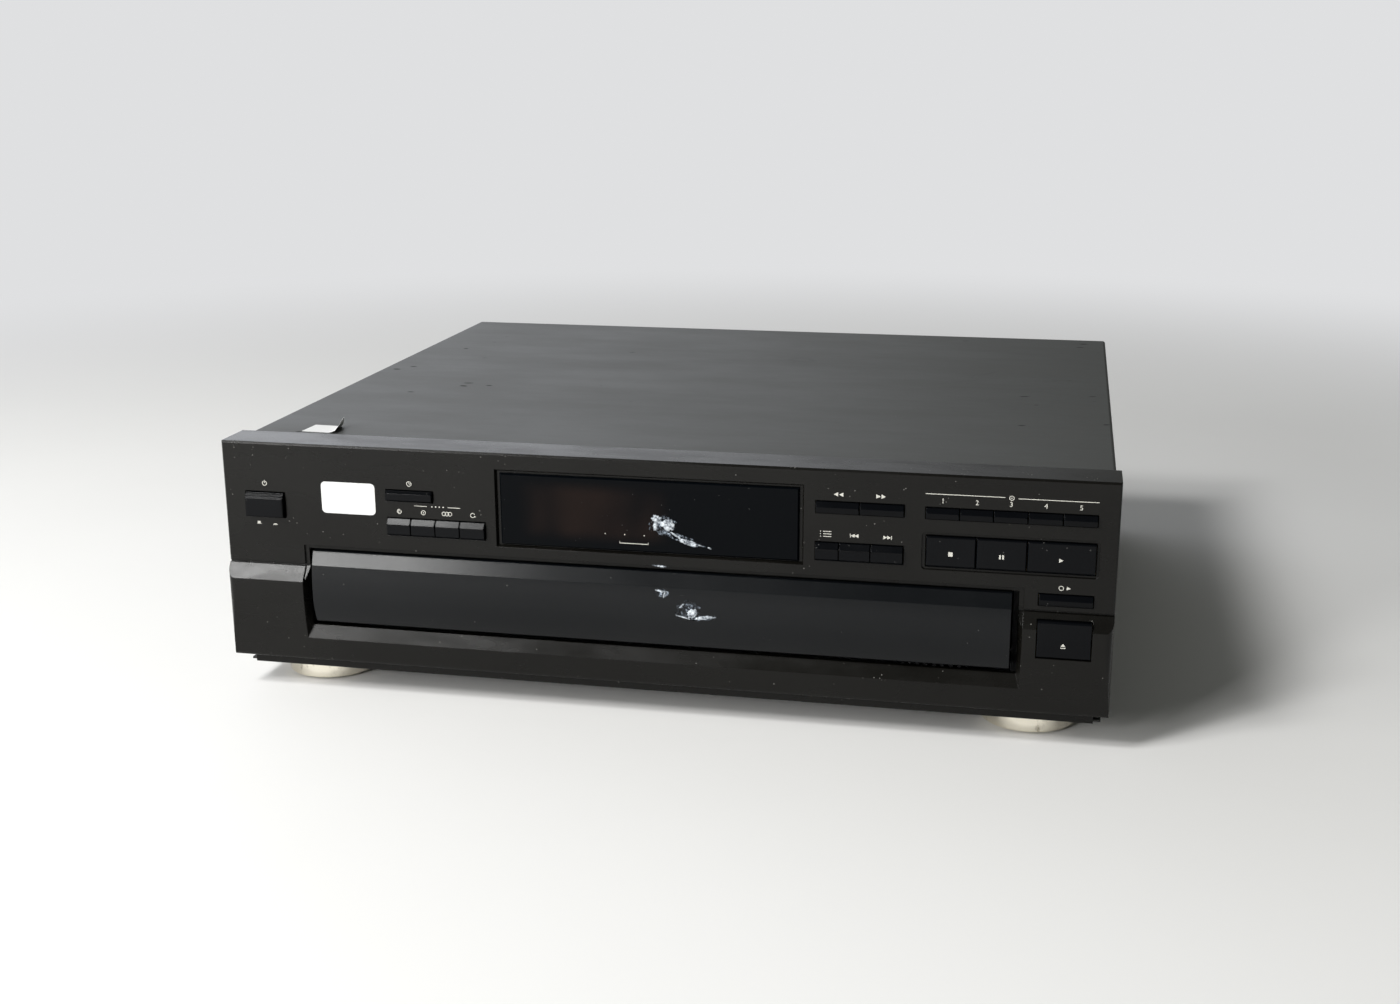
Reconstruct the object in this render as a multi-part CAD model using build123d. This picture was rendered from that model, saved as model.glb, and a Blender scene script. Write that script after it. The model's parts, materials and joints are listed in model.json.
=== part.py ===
from build123d import *
import os
from math import acos, asin, cos, pi, radians, sin, tan

# A front-loading player with a carousel of five disc pockets in its drawer.
# Millimetres. +Z is up, -Y is the front. Sizes are laid out with y = 0 on the upper front
# face, and every piece is moved by -MID_Y when it is saved, which puts the origin at the
# bottom centre of the whole player.

os.makedirs("parts", exist_ok=True)

# ---------------------------------------------------------------- driving dimensions

WIDTH = 430.0           # front panel, side to side
TOP_Z = 126.8           # top of the front panel
PANEL_Z = 16.5          # bottom edge of the front panel
PANEL_DEPTH = 23.3      # the panel's top strip, front to back
WALL = 2.5              # moulded wall
CASE_REAR = 378.0       # rear edge of the cover
JACK_REAR = 385.0       # ends of the output jacks
BULGE = 5.1             # how far the drawer front stands out
MID_Y = (JACK_REAR - BULGE) / 2

SPLIT_Z = 64.8          # groove between the panel's upper and lower sections
GROOVE, GROOVE_IN = 1.2, 1.2
STEP_OUT = 4.6          # the lower section stands this far out
STEP_Z = 57.9           # foot of the sloping ledge
MID_OUT, MID_Z = 4.15, 37.0     # a point half-way down the lower section's full face
LOWER_FOOT_OUT = 2.2    # how far the lower section stands out at its bottom edge

SHEET = 0.8             # painted steel of the cover
CHASSIS_SHEET = 1.0
COVER_HALF = 213.0
COVER_TOP = 125.0
COVER_BOTTOM = 12.0
COVER_FRONT = PANEL_DEPTH + 0.3
CHASSIS_Z = 10.0        # underside of the bottom sheet
CHASSIS_HALF = 211.9
DECK_FLOOR = CHASSIS_Z + CHASSIS_SHEET
REAR_SHEET_Y = 375.8

FOOT_R = 23.6
FOOT_TAPER = 0.8
FOOT_X = 178.5
FOOT_Y = (35.0, 341.0)
PAD_R = 19.5
PAD_T = 2.0
PAD_PROUD = 1.0

OPEN_HALF = 172.5       # drawer opening
OPEN_LOW, OPEN_HIGH = 34.6, 74.1
BORDER_HALF, BORDER_TOP = 174.7, 75.7
BORDER_IN = 1.0         # the border lies this far behind the faces round it
BORDER_FOOT = 0.9       # the border's slope ends this far above the ledge's foot
RAMP_OUT, RAMP_Z = 3.5, 28.5

FRONT_HALF = 169.4      # drawer front
FRONT_LOW, FRONT_HIGH = 37.2, 73.4
CREASE_OUT, CREASE_Z = 4.0, 66.7        # where the drawer's top bevel meets its full face
BULGE_Z = 52.0
FRONT_FOOT_OUT = 2.1
FRONT_BACK = 4.5

DISC_POCKETS = 5
POCKET_R = 60.9
POCKET_RING = 103.0     # pocket centres from the carousel's axis
CAROUSEL_R = 165.0
CAROUSEL_Y = 172.5
CAROUSEL_LOW, CAROUSEL_HIGH = 47.0, 57.5
POCKET_FLOOR = 52.0
SEAT_R, SEAT_Z = 41.0, 50.8
WINDOW_HALF = 26.0      # slot under each disc for the traverse
HUB_POST_R = 10.0
RUN_FIT = 0.08          # radial clearance of a shaft in its bore

TRAY_HALF = 168.5
TRAY_REAR = 340.5
TRAY_LOW, TRAY_FLOOR = 38.5, 41.0
TRAY_RIM = 61.0
TRAY_WALL = 2.0
PLAY_Y = CAROUSEL_Y + POCKET_RING

BASE_FRONT, BASE_REAR = 24.0, 342.0
BASE_IN, BASE_OUT = 169.6, 172.6
BASE_FLOOR = 23.0
BASE_TOP = 78.0
RAIL_IN, RAIL_LOW, RAIL_HIGH = 162.0, 36.5, 38.4
HOOK_Z = 35.0           # lowest point of what hangs under the tray

MODULE = 1.25
BACKLASH = 0.14
RACK_X = 146.0
RACK_SPAN = (19.0, 282.0)
DRIVE_TEETH, WHEEL_TEETH, PINION_TEETH = 20, 48, 18
DRIVE_Y = 45.0
TRAIN_ANGLE = 160.0     # direction from the drive gear to the pulley gear
PULLEY_R, MOTOR_PULLEY_R = 16.0, 4.0
MOTOR_REACH = 48.0

RING_TEETH, IDLER_TEETH = 60, 18
FINE_MODULE = 0.8
IDLER_WHEEL_TEETH, CAROUSEL_PINION_TEETH = 64, 16
IDLER_ANGLE = 200.0
MOTOR_ANGLE = 250.0

WINDOW = (-72.7, 71.6, 82.0, 117.2)
WINDOW_RECESS = (-75.0, 73.8, 80.7, 119.0)
RECESS_DEEP = 2.0
BOARD_Y, BOARD_T = 14.0, 1.6
SWITCH_FACE = 9.3       # front of the small push switches
TRAVEL = 1.0            # push of a small button
FLANGE_Y = (2.7, 3.9)

PICKUP_TRAVEL = 33.0
LENS_Y = PLAY_Y - 25.0
ROD_X, ROD_R, ROD_Z = 22.0, 1.5, 30.5
SCREW_X, SCREW_R = 31.0, 1.6
DECK_Z, DECK_T = BASE_TOP, 1.2
DECK_FRONT = 196.0
CLAMP_HOLE_R = 13.0

# ---------------------------------------------------------------- helpers


def block(x0, x1, y0, y1, z0, z1):
    """A box between two opposite corners."""
    return Pos((x0 + x1) / 2, (y0 + y1) / 2, (z0 + z1) / 2) * Box(x1 - x0, y1 - y0, z1 - z0)


def post(x, y, r, z0, z1):
    """An upright cylinder."""
    return Pos(x, y, (z0 + z1) / 2) * Cylinder(r, z1 - z0)


def rod_y(x, z, r, y0, y1):
    """A cylinder lying front to back."""
    return Pos(x, (y0 + y1) / 2, z) * Rot(90, 0, 0) * Cylinder(r, y1 - y0)


def rod_x(y, z, r, x0, x1):
    """A cylinder lying side to side."""
    return Pos((x0 + x1) / 2, y, z) * Rot(0, 90, 0) * Cylinder(r, x1 - x0)


def across(outline, x0, x1):
    """A side profile of (y, z) points or edges, run from x0 to x1."""
    face = Plane.YZ * make_face(outline)
    return Pos(x0, 0, 0) * extrude(face, x1 - x0)


def upright(outline, z0, z1):
    """A plan of (x, y) points, run from z0 to z1."""
    return Pos(0, 0, z0) * extrude(make_face(outline), z1 - z0)


def closed(*points):
    """A closed outline of straight lines."""
    return Polyline(*points, close=True)


def polar(angle, r):
    """A point at an angle in degrees and a radius."""
    return r * cos(radians(angle)), r * sin(radians(angle))


def group(pieces):
    """Separate solids that share one node."""
    return Compound([solid for piece in pieces for solid in piece.solids()])


def save(name, shape):
    """Write one sub-part, moved so that the origin is the player's bottom centre."""
    export_step(Pos(0, -MID_Y, 0) * shape, f"parts/{name}.step")


# ---------------------------------------------------------------- gears

PRESSURE = radians(20)


def involute(angle):
    """The involute function."""
    return tan(angle) - angle


def gear_outline(teeth, module, turn=0.0):
    """Points round an involute gear; one tooth points along the angle turn, in degrees."""
    pitch = teeth * module / 2
    base, tip, root = pitch * cos(PRESSURE), pitch + module, pitch - 1.25 * module
    half_tooth = (pi * module / 2 - BACKLASH) / (2 * pitch) + involute(PRESSURE)
    start = max(base, root)
    flank = []
    for step in range(5):
        r = start + (tip - start) * step / 4
        flank.append((r, half_tooth - involute(acos(min(1.0, base / r)))))
    if root < base:
        flank.insert(0, (root, flank[0][1]))
    points = []
    for tooth in range(teeth):
        centre = radians(turn) + 2 * pi * tooth / teeth
        for r, spread in flank:
            points.append((r * cos(centre - spread), r * sin(centre - spread)))
        for r, spread in reversed(flank):
            points.append((r * cos(centre + spread), r * sin(centre + spread)))
    return points


def gear(teeth, module, z0, z1, turn=0.0):
    """A spur gear about the Z axis."""
    return upright(closed(*gear_outline(teeth, module, turn)), z0, z1)


def meshed_turn(teeth, direction, other_teeth, other_turn):
    """The turn that puts a gear in mesh with another, which lies at the angle direction from it.

    At the pitch point the other gear's phase is carried over, and a space faces its tooth."""
    phase = ((direction + 180 - other_turn) * other_teeth / 360) % 1.0
    return direction + (phase + 0.5) * 360 / teeth


def rack_outline(teeth, x, y):
    """A rack along Y with teeth towards -X from the pitch line x; one space is centred on y."""
    pitch = pi * MODULE
    half = pitch / 4 - BACKLASH / 2
    slope = tan(PRESSURE) * MODULE
    back = x + 7.0
    points = [(back, y + teeth * pitch)]
    points.append((back, y))
    for tooth in range(teeth):
        mid = y + (tooth + 0.5) * pitch
        foot = 1.25 * slope
        points.append((x + 1.25 * MODULE, mid - half - foot))
        points.append((x - MODULE, mid - half + slope))
        points.append((x - MODULE, mid + half - slope))
        points.append((x + 1.25 * MODULE, mid + half + foot))
    points.append((x + 1.25 * MODULE, y + teeth * pitch))
    return points


# ---------------------------------------------------------------- buttons

# name: left, right, low, high, form of the front, push switch height
BUTTONS = {
    "power_button": (-203.3, -183.7, 89.5, 101.6, "steps"),
    "time_button": (-130.0, -106.6, 100.9, 106.1, "lip"),
    "mode_button_1": (-129.7, -118.0, 83.8, 92.1, "ledge"),
    "mode_button_2": (-117.4, -105.5, 83.8, 92.1, "ledge"),
    "mode_button_3": (-104.9, -93.1, 83.8, 92.1, "ledge"),
    "mode_button_4": (-92.5, -80.5, 83.8, 92.1, "ledge"),
    "search_back_button": (79.4, 99.1, 106.3, 111.6, "gable"),
    "search_forward_button": (99.6, 119.5, 106.3, 111.6, "gable"),
    "program_button": (79.4, 90.0, 83.8, 92.1, "ledge"),
    "skip_back_button": (90.5, 104.5, 83.8, 92.1, "ledge"),
    "skip_forward_button": (105.0, 119.5, 83.8, 92.1, "ledge"),
    "disc_button_1": (129.5, 144.3, 106.2, 111.2, "gable"),
    "disc_button_2": (144.8, 159.4, 106.2, 111.2, "gable"),
    "disc_button_3": (159.9, 174.6, 106.2, 111.2, "gable"),
    "disc_button_4": (175.1, 190.0, 106.2, 111.2, "gable"),
    "disc_button_5": (190.5, 205.2, 106.2, 111.2, "gable"),
    "stop_button": (130.0, 152.2, 83.5, 97.9, "plate"),
    "pause_button": (152.7, 174.9, 83.5, 97.9, "plate"),
    "play_button": (175.4, 205.4, 83.5, 97.9, "plate"),
    "disc_skip_button": (181.3, 205.2, 68.4, 73.6, "gable"),
    "open_close_button": (181.3, 205.3, 44.7, 61.9, "block"),
}

# slots through the panel: left, right, low, high
SLOTS = [
    (-204.0, -183.0, 89.0, 102.1),
    (-130.4, -106.2, 100.5, 106.5),
    (-130.1, -80.1, 83.4, 92.5),
    (79.0, 119.9, 105.9, 112.0),
    (79.0, 119.9, 83.4, 92.5),
    (129.1, 205.6, 105.8, 111.6),
    (129.6, 205.8, 83.1, 98.3),
    (180.9, 205.6, 68.0, 74.0),
    (180.9, 205.7, 44.3, 62.3),
]

TRANSPORT_RECESS = (128.0, 207.0, 82.0, 99.5)
POWER_NAME = "power_button"
POWER_STEM_END = 27.0


def button_front(form, low, high):
    """Front outline of a button, from its top edge down, as (y, z) points."""
    mid = (low + high) / 2
    forms = {
        "steps": [(-0.9, high), (-0.9, high - 0.9), (-1.8, high - 1.2), (-1.8, high - 2.1),
                  (-2.7, high - 2.5), (-2.7, low + 0.6), (-2.1, low)],
        "lip": [(-0.9, high), (-2.4, high - 1.2), (-2.1, high - 1.7), (-2.1, low + 0.8), (-1.4, low)],
        "ledge": [(-0.6, high), (-2.7, high - 2.6), (-2.2, high - 3.4), (-2.2, low + 0.9), (-1.5, low)],
        "gable": [(-0.7, high), (-2.1, mid + 0.3), (-2.1, mid), (-1.0, low)],
        "plate": [(-0.4, high), (-0.9, high - 0.5), (-0.9, low + 0.9), (-0.2, low)],
        "block": [(-3.7, high), (-4.4, high - 0.7), (-4.9, mid), (-4.6, low + 0.6), (-3.9, low)],
    }
    return forms[form]


def button(left, right, low, high, form, stem_end, overlap):
    """A cap, the flange that keeps it behind the panel, and a stem to its switch."""
    front = button_front(form, low, high)
    cap = across(closed((FLANGE_Y[0], high), *front, (FLANGE_Y[0], low)), left, right)
    out = min(y for y, z in front)
    bevel = 0.4
    plan = closed((left, FLANGE_Y[0]), (left, out + bevel), (left + bevel, out),
                  (right - bevel, out), (right, out + bevel), (right, FLANGE_Y[0]))
    cap = cap & upright(plan, low - 1, high + 1)
    flange = block(left, right, *FLANGE_Y, low - overlap, high + overlap)
    mid_x, mid_z = (left + right) / 2, (low + high) / 2
    stem = block(mid_x - 2, mid_x + 2, FLANGE_Y[1] - 0.1, stem_end, mid_z - 2, mid_z + 2)
    return cap + flange + stem


def save_buttons():
    for name, (left, right, low, high, form) in BUTTONS.items():
        stem_end = POWER_STEM_END if name == POWER_NAME else SWITCH_FACE - TRAVEL - 0.05
        save(name, button(left, right, low, high, form, stem_end, 1.2))


# ---------------------------------------------------------------- front panel

BOSSES = [(-136.0, 118.0), (-136.0, 80.6), (124.0, 118.0), (124.0, 80.6), (209.0, 119.0), (209.0, 66.0)]
BOSS_R = 2.6


def panel_shell():
    """The moulding's outer form: flat upper section, groove, ledge and convex lower section."""
    foot = PANEL_Z + 1.5
    outline = [
        Polyline((PANEL_DEPTH, PANEL_Z), (PANEL_DEPTH, TOP_Z), (0.9, TOP_Z), (0, TOP_Z - 0.9),
                 (0, SPLIT_Z + GROOVE), (GROOVE_IN, SPLIT_Z + GROOVE), (GROOVE_IN, SPLIT_Z), (0, SPLIT_Z),
                 (-STEP_OUT, STEP_Z)),
        ThreePointArc((-STEP_OUT, STEP_Z), (-MID_OUT, MID_Z), (-LOWER_FOOT_OUT, foot)),
        Polyline((-LOWER_FOOT_OUT, foot), (-LOWER_FOOT_OUT + 0.4, PANEL_Z + 0.5),
                 (-LOWER_FOOT_OUT + 1.4, PANEL_Z), (PANEL_DEPTH, PANEL_Z)),
    ]
    shell = across(outline, -WIDTH / 2, WIDTH / 2)
    inside = WIDTH / 2 - WALL
    shell -= block(-inside, inside, WALL, PANEL_DEPTH + 1, PANEL_Z + WALL, TOP_Z - WALL)
    for side in (-1, 1):
        shell -= block(*sorted((side * 178.0, side * inside)), -1.0, WALL + 0.1, PANEL_Z + WALL, STEP_Z - 1.2)
    shell -= block(-BORDER_HALF, BORDER_HALF, -0.8, WALL + 0.1, PANEL_Z + WALL, 26.0)
    return shell


def round_lower_corners(panel):
    """Rounded vertical corners on the lower section and a fine bevel on the upper one."""
    for side in (-1, 1):
        edge_x = side * WIDTH / 2
        cut_r = 3.5
        corner = block(*sorted((edge_x - side * cut_r, edge_x + side * 9)), -9, -STEP_OUT + cut_r, 0, SPLIT_Z)
        corner -= post(edge_x - side * cut_r, -STEP_OUT + cut_r, cut_r, 0, SPLIT_Z)
        panel -= corner
        bevel = closed((edge_x + side, -1.0), (edge_x - side * 0.6, -1.0),
                       (edge_x - side * 0.6, 0.0), (edge_x, 0.6), (edge_x + side, 0.6))
        panel -= upright(bevel, SPLIT_Z, TOP_Z + 1)
    return panel


def drawer_opening():
    """What is cut away for the drawer: opening, stepped border, splayed sides and ramp."""
    reach = 10.0
    splay = (BORDER_HALF - OPEN_HALF) / STEP_OUT
    wide = OPEN_HALF + reach * splay
    plan = closed((-OPEN_HALF, 0), (-wide, -reach), (wide, -reach), (OPEN_HALF, 0))
    fall = (OPEN_LOW - RAMP_Z) / RAMP_OUT
    above_ramp = across(closed((0, OPEN_LOW), (-reach, OPEN_LOW - reach * fall), (-reach, 80), (0, 80)),
                        -wide, wide)
    cut = upright(plan, 20, SPLIT_Z + 1) & above_ramp
    cut += block(-OPEN_HALF, OPEN_HALF, -0.1, WALL + 0.5, OPEN_LOW, OPEN_HIGH)
    cut += block(-BORDER_HALF, BORDER_HALF, -0.1, BORDER_IN, SPLIT_Z, BORDER_TOP)
    foot = STEP_Z + BORDER_FOOT
    foot_y = BORDER_IN - (SPLIT_Z - foot) * STEP_OUT / (SPLIT_Z - STEP_Z)
    slope = closed((BORDER_IN, SPLIT_Z + 0.1), (BORDER_IN, SPLIT_Z), (foot_y, foot),
                   (-reach, foot), (-reach, SPLIT_Z + 0.1))
    return cut + across(slope, -BORDER_HALF, BORDER_HALF)


def window_place():
    """Recess with sloping walls for the display window."""
    x0, x1, z0, z1 = WINDOW_RECESS
    face = Plane.XZ * Pos((x0 + x1) / 2, (z0 + z1) / 2) * Rectangle(x1 - x0, z1 - z0)
    return extrude(face, -RECESS_DEEP, taper=24)


def front_panel():
    """The moulded front with all its openings, the bosses behind it and the plinth below it."""
    panel = round_lower_corners(panel_shell())
    x0, x1, z0, z1 = WINDOW_RECESS
    panel += block(x0 - 3, x1 + 3, WALL - 0.1, WALL + 2, z0 - 2, z1 + 2)
    panel -= window_place()
    wx0, wx1, wz0, wz1 = WINDOW
    panel -= block(wx0 + 3, wx1 - 3, 0, 6, wz0 + 3, wz1 - 3)
    panel -= drawer_opening()
    tx0, tx1, tz0, tz1 = TRANSPORT_RECESS
    frame = Plane.XZ * Pos((tx0 + tx1) / 2, (tz0 + tz1) / 2) * RectangleRounded(tx1 - tx0, tz1 - tz0, 1.8)
    panel -= extrude(frame, -0.9)
    for left, right, low, high in SLOTS:
        panel -= block(left, right, -9, WALL + 0.1, low, high)
    for x, z in BOSSES:
        panel += rod_y(x, z, BOSS_R, WALL - 0.1, BOARD_Y)
    plinth = closed((7.0, PANEL_Z + 0.1), (7.0, CHASSIS_Z), (9.5, CHASSIS_Z), (9.5, PANEL_Z + 0.1))
    return panel + across(plinth, -208.4, 208.4)


def display_window():
    """Smoked window: a bevelled plate with a stepped back that fills the hole behind it."""
    x0, x1, z0, z1 = WINDOW
    front, bevel = 0.5, 0.8
    plate = block(x0, x1, front, RECESS_DEEP, z0, z1)
    plate = chamfer(plate.faces().sort_by(Axis.Y)[0].edges(), bevel)
    return plate + block(x0 + 3.2, x1 - 3.2, RECESS_DEEP - 0.1, 4.3, z0 + 3.2, z1 - 3.2)


# ---------------------------------------------------------------- panel electronics


def display_module():
    """Flat glass display tube with its leads down to the board."""
    tube = block(-62, 62, 7.0, 12.0, 87, 112)
    seal = block(-60, 60, 5.6, 7.0, 89, 110)
    leads = [block(-56 + 8 * k, -55.2 + 8 * k, 12.0, BOARD_Y, 88, 88.6) for k in range(15)]
    return tube + seal + leads[0] + leads[1:]


def operation_board():
    """Circuit board behind the buttons, with a leg down to the drawer buttons."""
    board = block(-140, 211.5, BOARD_Y, BOARD_Y + BOARD_T, 77.5, 122)
    board += block(177, 211.5, BOARD_Y, BOARD_Y + BOARD_T, 37, 78)
    parts = [block(x, x + 16, BOARD_Y + BOARD_T, BOARD_Y + 5, 100, 106) for x in (-60, -20, 30, 90)]
    return board + parts


def tact_switches():
    """One small push switch behind each button but the power button."""
    switches = []
    for name, (left, right, low, high, form) in BUTTONS.items():
        if name == POWER_NAME:
            continue
        x, z = (left + right) / 2, (low + high) / 2
        body = block(x - 3, x + 3, SWITCH_FACE + 1.3, BOARD_Y, z - 3, z + 3)
        switches.append(body + rod_y(x, z, 1.6, SWITCH_FACE, SWITCH_FACE + 1.4))
    return group(switches)


def power_switch():
    """Mains push switch on a bracket that reaches to the chassis ear."""
    left, right, low, high, form = BUTTONS[POWER_NAME]
    x, z = (left + right) / 2, (low + high) / 2
    body = block(x - 8, x + 8, 20, 44, z - 7.5, z + 7.5)
    body -= block(x - 3, x + 3, 19, 34, z - 3, z + 3)
    tags = [block(x + dx - 0.8, x + dx + 0.8, 44, 49, z + dz, z + dz + 0.8) for dx in (-5, 5) for dz in (-4, 3)]
    bracket = block(-CHASSIS_HALF + CHASSIS_SHEET, x - 8, 25, 41, z - 9, z - 7.5)
    bracket += block(x - 8.1, x + 8, 25, 41, z - 9, z - 7.5)
    bracket += block(-CHASSIS_HALF + CHASSIS_SHEET, -CHASSIS_HALF + 2.2, 25, 41, z - 9, z + 6)
    return body + bracket + tags


# ---------------------------------------------------------------- case

SIDE_SCREWS = [(60.0, 34.0), (335.0, 34.0)]
REAR_TOP_SCREWS = (-190.0, 0.0, 190.0)
REAR_TOP_SCREW_Z = 118.0
REAR_LOW_SCREWS = [(-198.0, 18.0), (-60.0, 18.0), (60.0, 18.0), (198.0, 18.0)]
SCREW_SHANK, SCREW_HOLE, SCREW_HEAD = 1.5, 1.6, 3.4


def top_cover():
    """Folded steel cover: top, two sides, a lip under the panel and a flange at the rear."""
    outer = Plane.XZ * Pos(0, (COVER_TOP + COVER_BOTTOM) / 2)
    height = COVER_TOP - COVER_BOTTOM
    cover = extrude(outer * Rectangle(2 * COVER_HALF, height), -(CASE_REAR - COVER_FRONT))
    cover = Pos(0, COVER_FRONT, 0) * cover
    top_edges = cover.edges().filter_by(Axis.Y).sort_by(Axis.Z)[-2:]
    cover = fillet(top_edges, 1.6)
    inner_half = COVER_HALF - SHEET
    hollow = block(-inner_half, inner_half, 0, CASE_REAR + 1, 0, COVER_TOP - SHEET)
    hollow = fillet(hollow.edges().filter_by(Axis.Y).sort_by(Axis.Z)[-2:], 0.8)
    cover -= hollow
    cover += block(-205, 205, 15, 40, COVER_TOP - 2 * SHEET, COVER_TOP - SHEET + 0.05)
    cover += block(-206, 206, CASE_REAR - SHEET, CASE_REAR, 112, COVER_TOP - SHEET + 0.05)
    for y, z in SIDE_SCREWS:
        cover -= rod_x(y, z, SCREW_HOLE, -COVER_HALF - 1, COVER_HALF + 1)
    for x in REAR_TOP_SCREWS:
        cover -= rod_y(x, REAR_TOP_SCREW_Z, SCREW_HOLE, 370, CASE_REAR + 1)
    return cover


def bottom_chassis():
    """Pressed steel pan with side flanges, front ears, vent slots and four foot holes."""
    half, t = CHASSIS_HALF, CHASSIS_SHEET
    pan = block(-half, half, 9.8, 377.0, CHASSIS_Z, DECK_FLOOR)
    pan += block(-207, 207, 9.8, 9.8 + t, CHASSIS_Z, PANEL_Z - 0.2)
    for side in (-1, 1):
        x0, x1 = sorted((side * half, side * (half - t)))
        pan += block(x0, x1, COVER_FRONT, REAR_SHEET_Y - t, CHASSIS_Z, 60)
        pan += block(x0, x1, COVER_FRONT, 62, CHASSIS_Z, 116)
    pan += block(-208, 208, REAR_SHEET_Y - t, REAR_SHEET_Y, CHASSIS_Z, 26)
    for y, z in SIDE_SCREWS:
        pan -= rod_x(y, z, SCREW_HOLE, -half - 1, half + 1)
    for x, z in REAR_LOW_SCREWS:
        pan -= rod_y(x, z, SCREW_HOLE, 370, 377)
    for row in range(8):
        for x in (-120, 0, 120):
            pan -= block(x - 22, x + 22, 90 + 12 * row, 93 + 12 * row, CHASSIS_Z - 1, DECK_FLOOR + 0.5)
    for x in (-FOOT_X, FOOT_X):
        for y in FOOT_Y:
            pan -= post(x, y, 4.2, CHASSIS_Z - 1, DECK_FLOOR + 1)
    return pan


def feet():
    """Four turned feet with a recess for the pad and a stub through the chassis."""
    shapes = []
    for x in (-FOOT_X, FOOT_X):
        for y in FOOT_Y:
            cone = Pos(x, y, (PAD_PROUD + CHASSIS_Z) / 2) * Cone(FOOT_R - FOOT_TAPER, FOOT_R,
                                                                 CHASSIS_Z - PAD_PROUD)
            cone = fillet(cone.edges().sort_by(Axis.Z)[0], 0.8)
            cone -= post(x, y, PAD_R + 0.1, 0, PAD_T)
            shapes.append(cone + post(x, y, 4.0, CHASSIS_Z - 1, DECK_FLOOR + 1.2))
    return group(shapes)


def foot_pads():
    """Soft pads that the player stands on."""
    return group([post(x, y, PAD_R, 0, PAD_T) for x in (-FOOT_X, FOOT_X) for y in FOOT_Y])


JACK_X = (148.0, 163.0)
JACK_Z = 44.0
INLET_X, INLET_Z = -112.0, 38.0
INLET_HALF_W, INLET_HALF_H = 12.5, 9.0


def rear_panel():
    """Rear sheet with openings for the jacks and the mains inlet."""
    sheet = block(-210.6, 210.6, REAR_SHEET_Y, REAR_SHEET_Y + 1.2, DECK_FLOOR, 123.9)
    for x in JACK_X:
        sheet -= rod_y(x, JACK_Z, 5.4, 370, 380)
    sheet -= block(INLET_X - INLET_HALF_W, INLET_X + INLET_HALF_W, 370, 380,
                   INLET_Z - INLET_HALF_H, INLET_Z + INLET_HALF_H)
    for x in REAR_TOP_SCREWS:
        sheet -= rod_y(x, REAR_TOP_SCREW_Z, SCREW_HOLE, 370, 380)
    for x, z in REAR_LOW_SCREWS:
        sheet -= rod_y(x, z, SCREW_HOLE, 370, 380)
    for k in range(9):
        x = -40 + 10 * k
        sheet -= block(x, x + 3, 370, 380, 60, 100)
    return sheet


def output_jacks():
    """Two phono jacks in one moulded block."""
    body = block(JACK_X[0] - 9, JACK_X[1] + 9, 362, REAR_SHEET_Y, JACK_Z - 9, JACK_Z + 9)
    for x in JACK_X:
        body += rod_y(x, JACK_Z, 5.2, REAR_SHEET_Y - 0.1, REAR_SHEET_Y + 2.6)
        body += rod_y(x, JACK_Z, 4.15, REAR_SHEET_Y, JACK_REAR)
        body -= rod_y(x, JACK_Z, 1.7, REAR_SHEET_Y - 6, JACK_REAR + 1)
    return body


def ac_inlet():
    """Mains inlet with two pins in an oval well."""
    x, z = INLET_X, INLET_Z
    w, h = INLET_HALF_W - 0.2, INLET_HALF_H - 0.2
    body = block(x - w, x + w, 356, REAR_SHEET_Y + 1.5, z - h, z + h)
    body += block(x - w - 3, x + w + 3, REAR_SHEET_Y + 1.2, REAR_SHEET_Y + 2.7, z - h - 2, z + h + 2)
    well = Plane.XZ * Pos(x, z) * SlotOverall(17, 8.6)
    body -= Pos(0, 363, 0) * extrude(well, -20)
    for dx in (-4.3, 4.3):
        body += rod_y(x + dx, z, 1.2, 362.5, 375)
    return body


def screw_x(side, y, z):
    """A screw through the side of the cover."""
    head = rod_x(y, z, SCREW_HEAD, *sorted((side * COVER_HALF, side * (COVER_HALF + 1.7))))
    shank = rod_x(y, z, SCREW_SHANK, *sorted((side * (COVER_HALF + 0.1), side * (COVER_HALF - 7))))
    cross = block(*sorted((side * (COVER_HALF + 0.7), side * (COVER_HALF + 2))), y - 2, y + 2, z - 0.4, z + 0.4)
    cross += block(*sorted((side * (COVER_HALF + 0.7), side * (COVER_HALF + 2))), y - 0.4, y + 0.4, z - 2, z + 2)
    return head + shank - cross


def screw_rear(x, z, face_y):
    """A screw through the rear, with its head on face_y."""
    head = rod_y(x, z, SCREW_HEAD, face_y, face_y + 1.7)
    shank = rod_y(x, z, SCREW_SHANK, face_y - 6, face_y + 0.1)
    cross = block(x - 2, x + 2, face_y + 0.7, face_y + 2, z - 0.4, z + 0.4)
    cross += block(x - 0.4, x + 0.4, face_y + 0.7, face_y + 2, z - 2, z + 2)
    return head + shank - cross


def case_screws():
    """All the screws that hold the case together."""
    screws = [screw_x(side, y, z) for side in (-1, 1) for y, z in SIDE_SCREWS]
    screws += [screw_rear(x, REAR_TOP_SCREW_Z, CASE_REAR) for x in REAR_TOP_SCREWS]
    screws += [screw_rear(x, z, REAR_SHEET_Y + 1.2) for x, z in REAR_LOW_SCREWS]
    return group(screws)


def power_transformer():
    """Laminated core, bobbin with flanges and two mounting feet."""
    core = block(-200, -152, 350, 366, 14, 54)
    core -= block(-192, -184, 349, 367, 22, 46)
    core -= block(-168, -160, 349, 367, 22, 46)
    coil = block(-191.5, -160.5, 344.5, 371.5, 25, 43)
    flanges = block(-191.8, -160.2, 344, 372, 22.3, 25) + block(-191.8, -160.2, 344, 372, 43, 45.7)
    leg = block(-184, -168, 349, 367, 14, 54)
    strap = block(-206, -146, 352, 364, DECK_FLOOR, 14)
    return core + (coil + flanges - leg) + strap


# ---------------------------------------------------------------- loading mechanism

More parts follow.
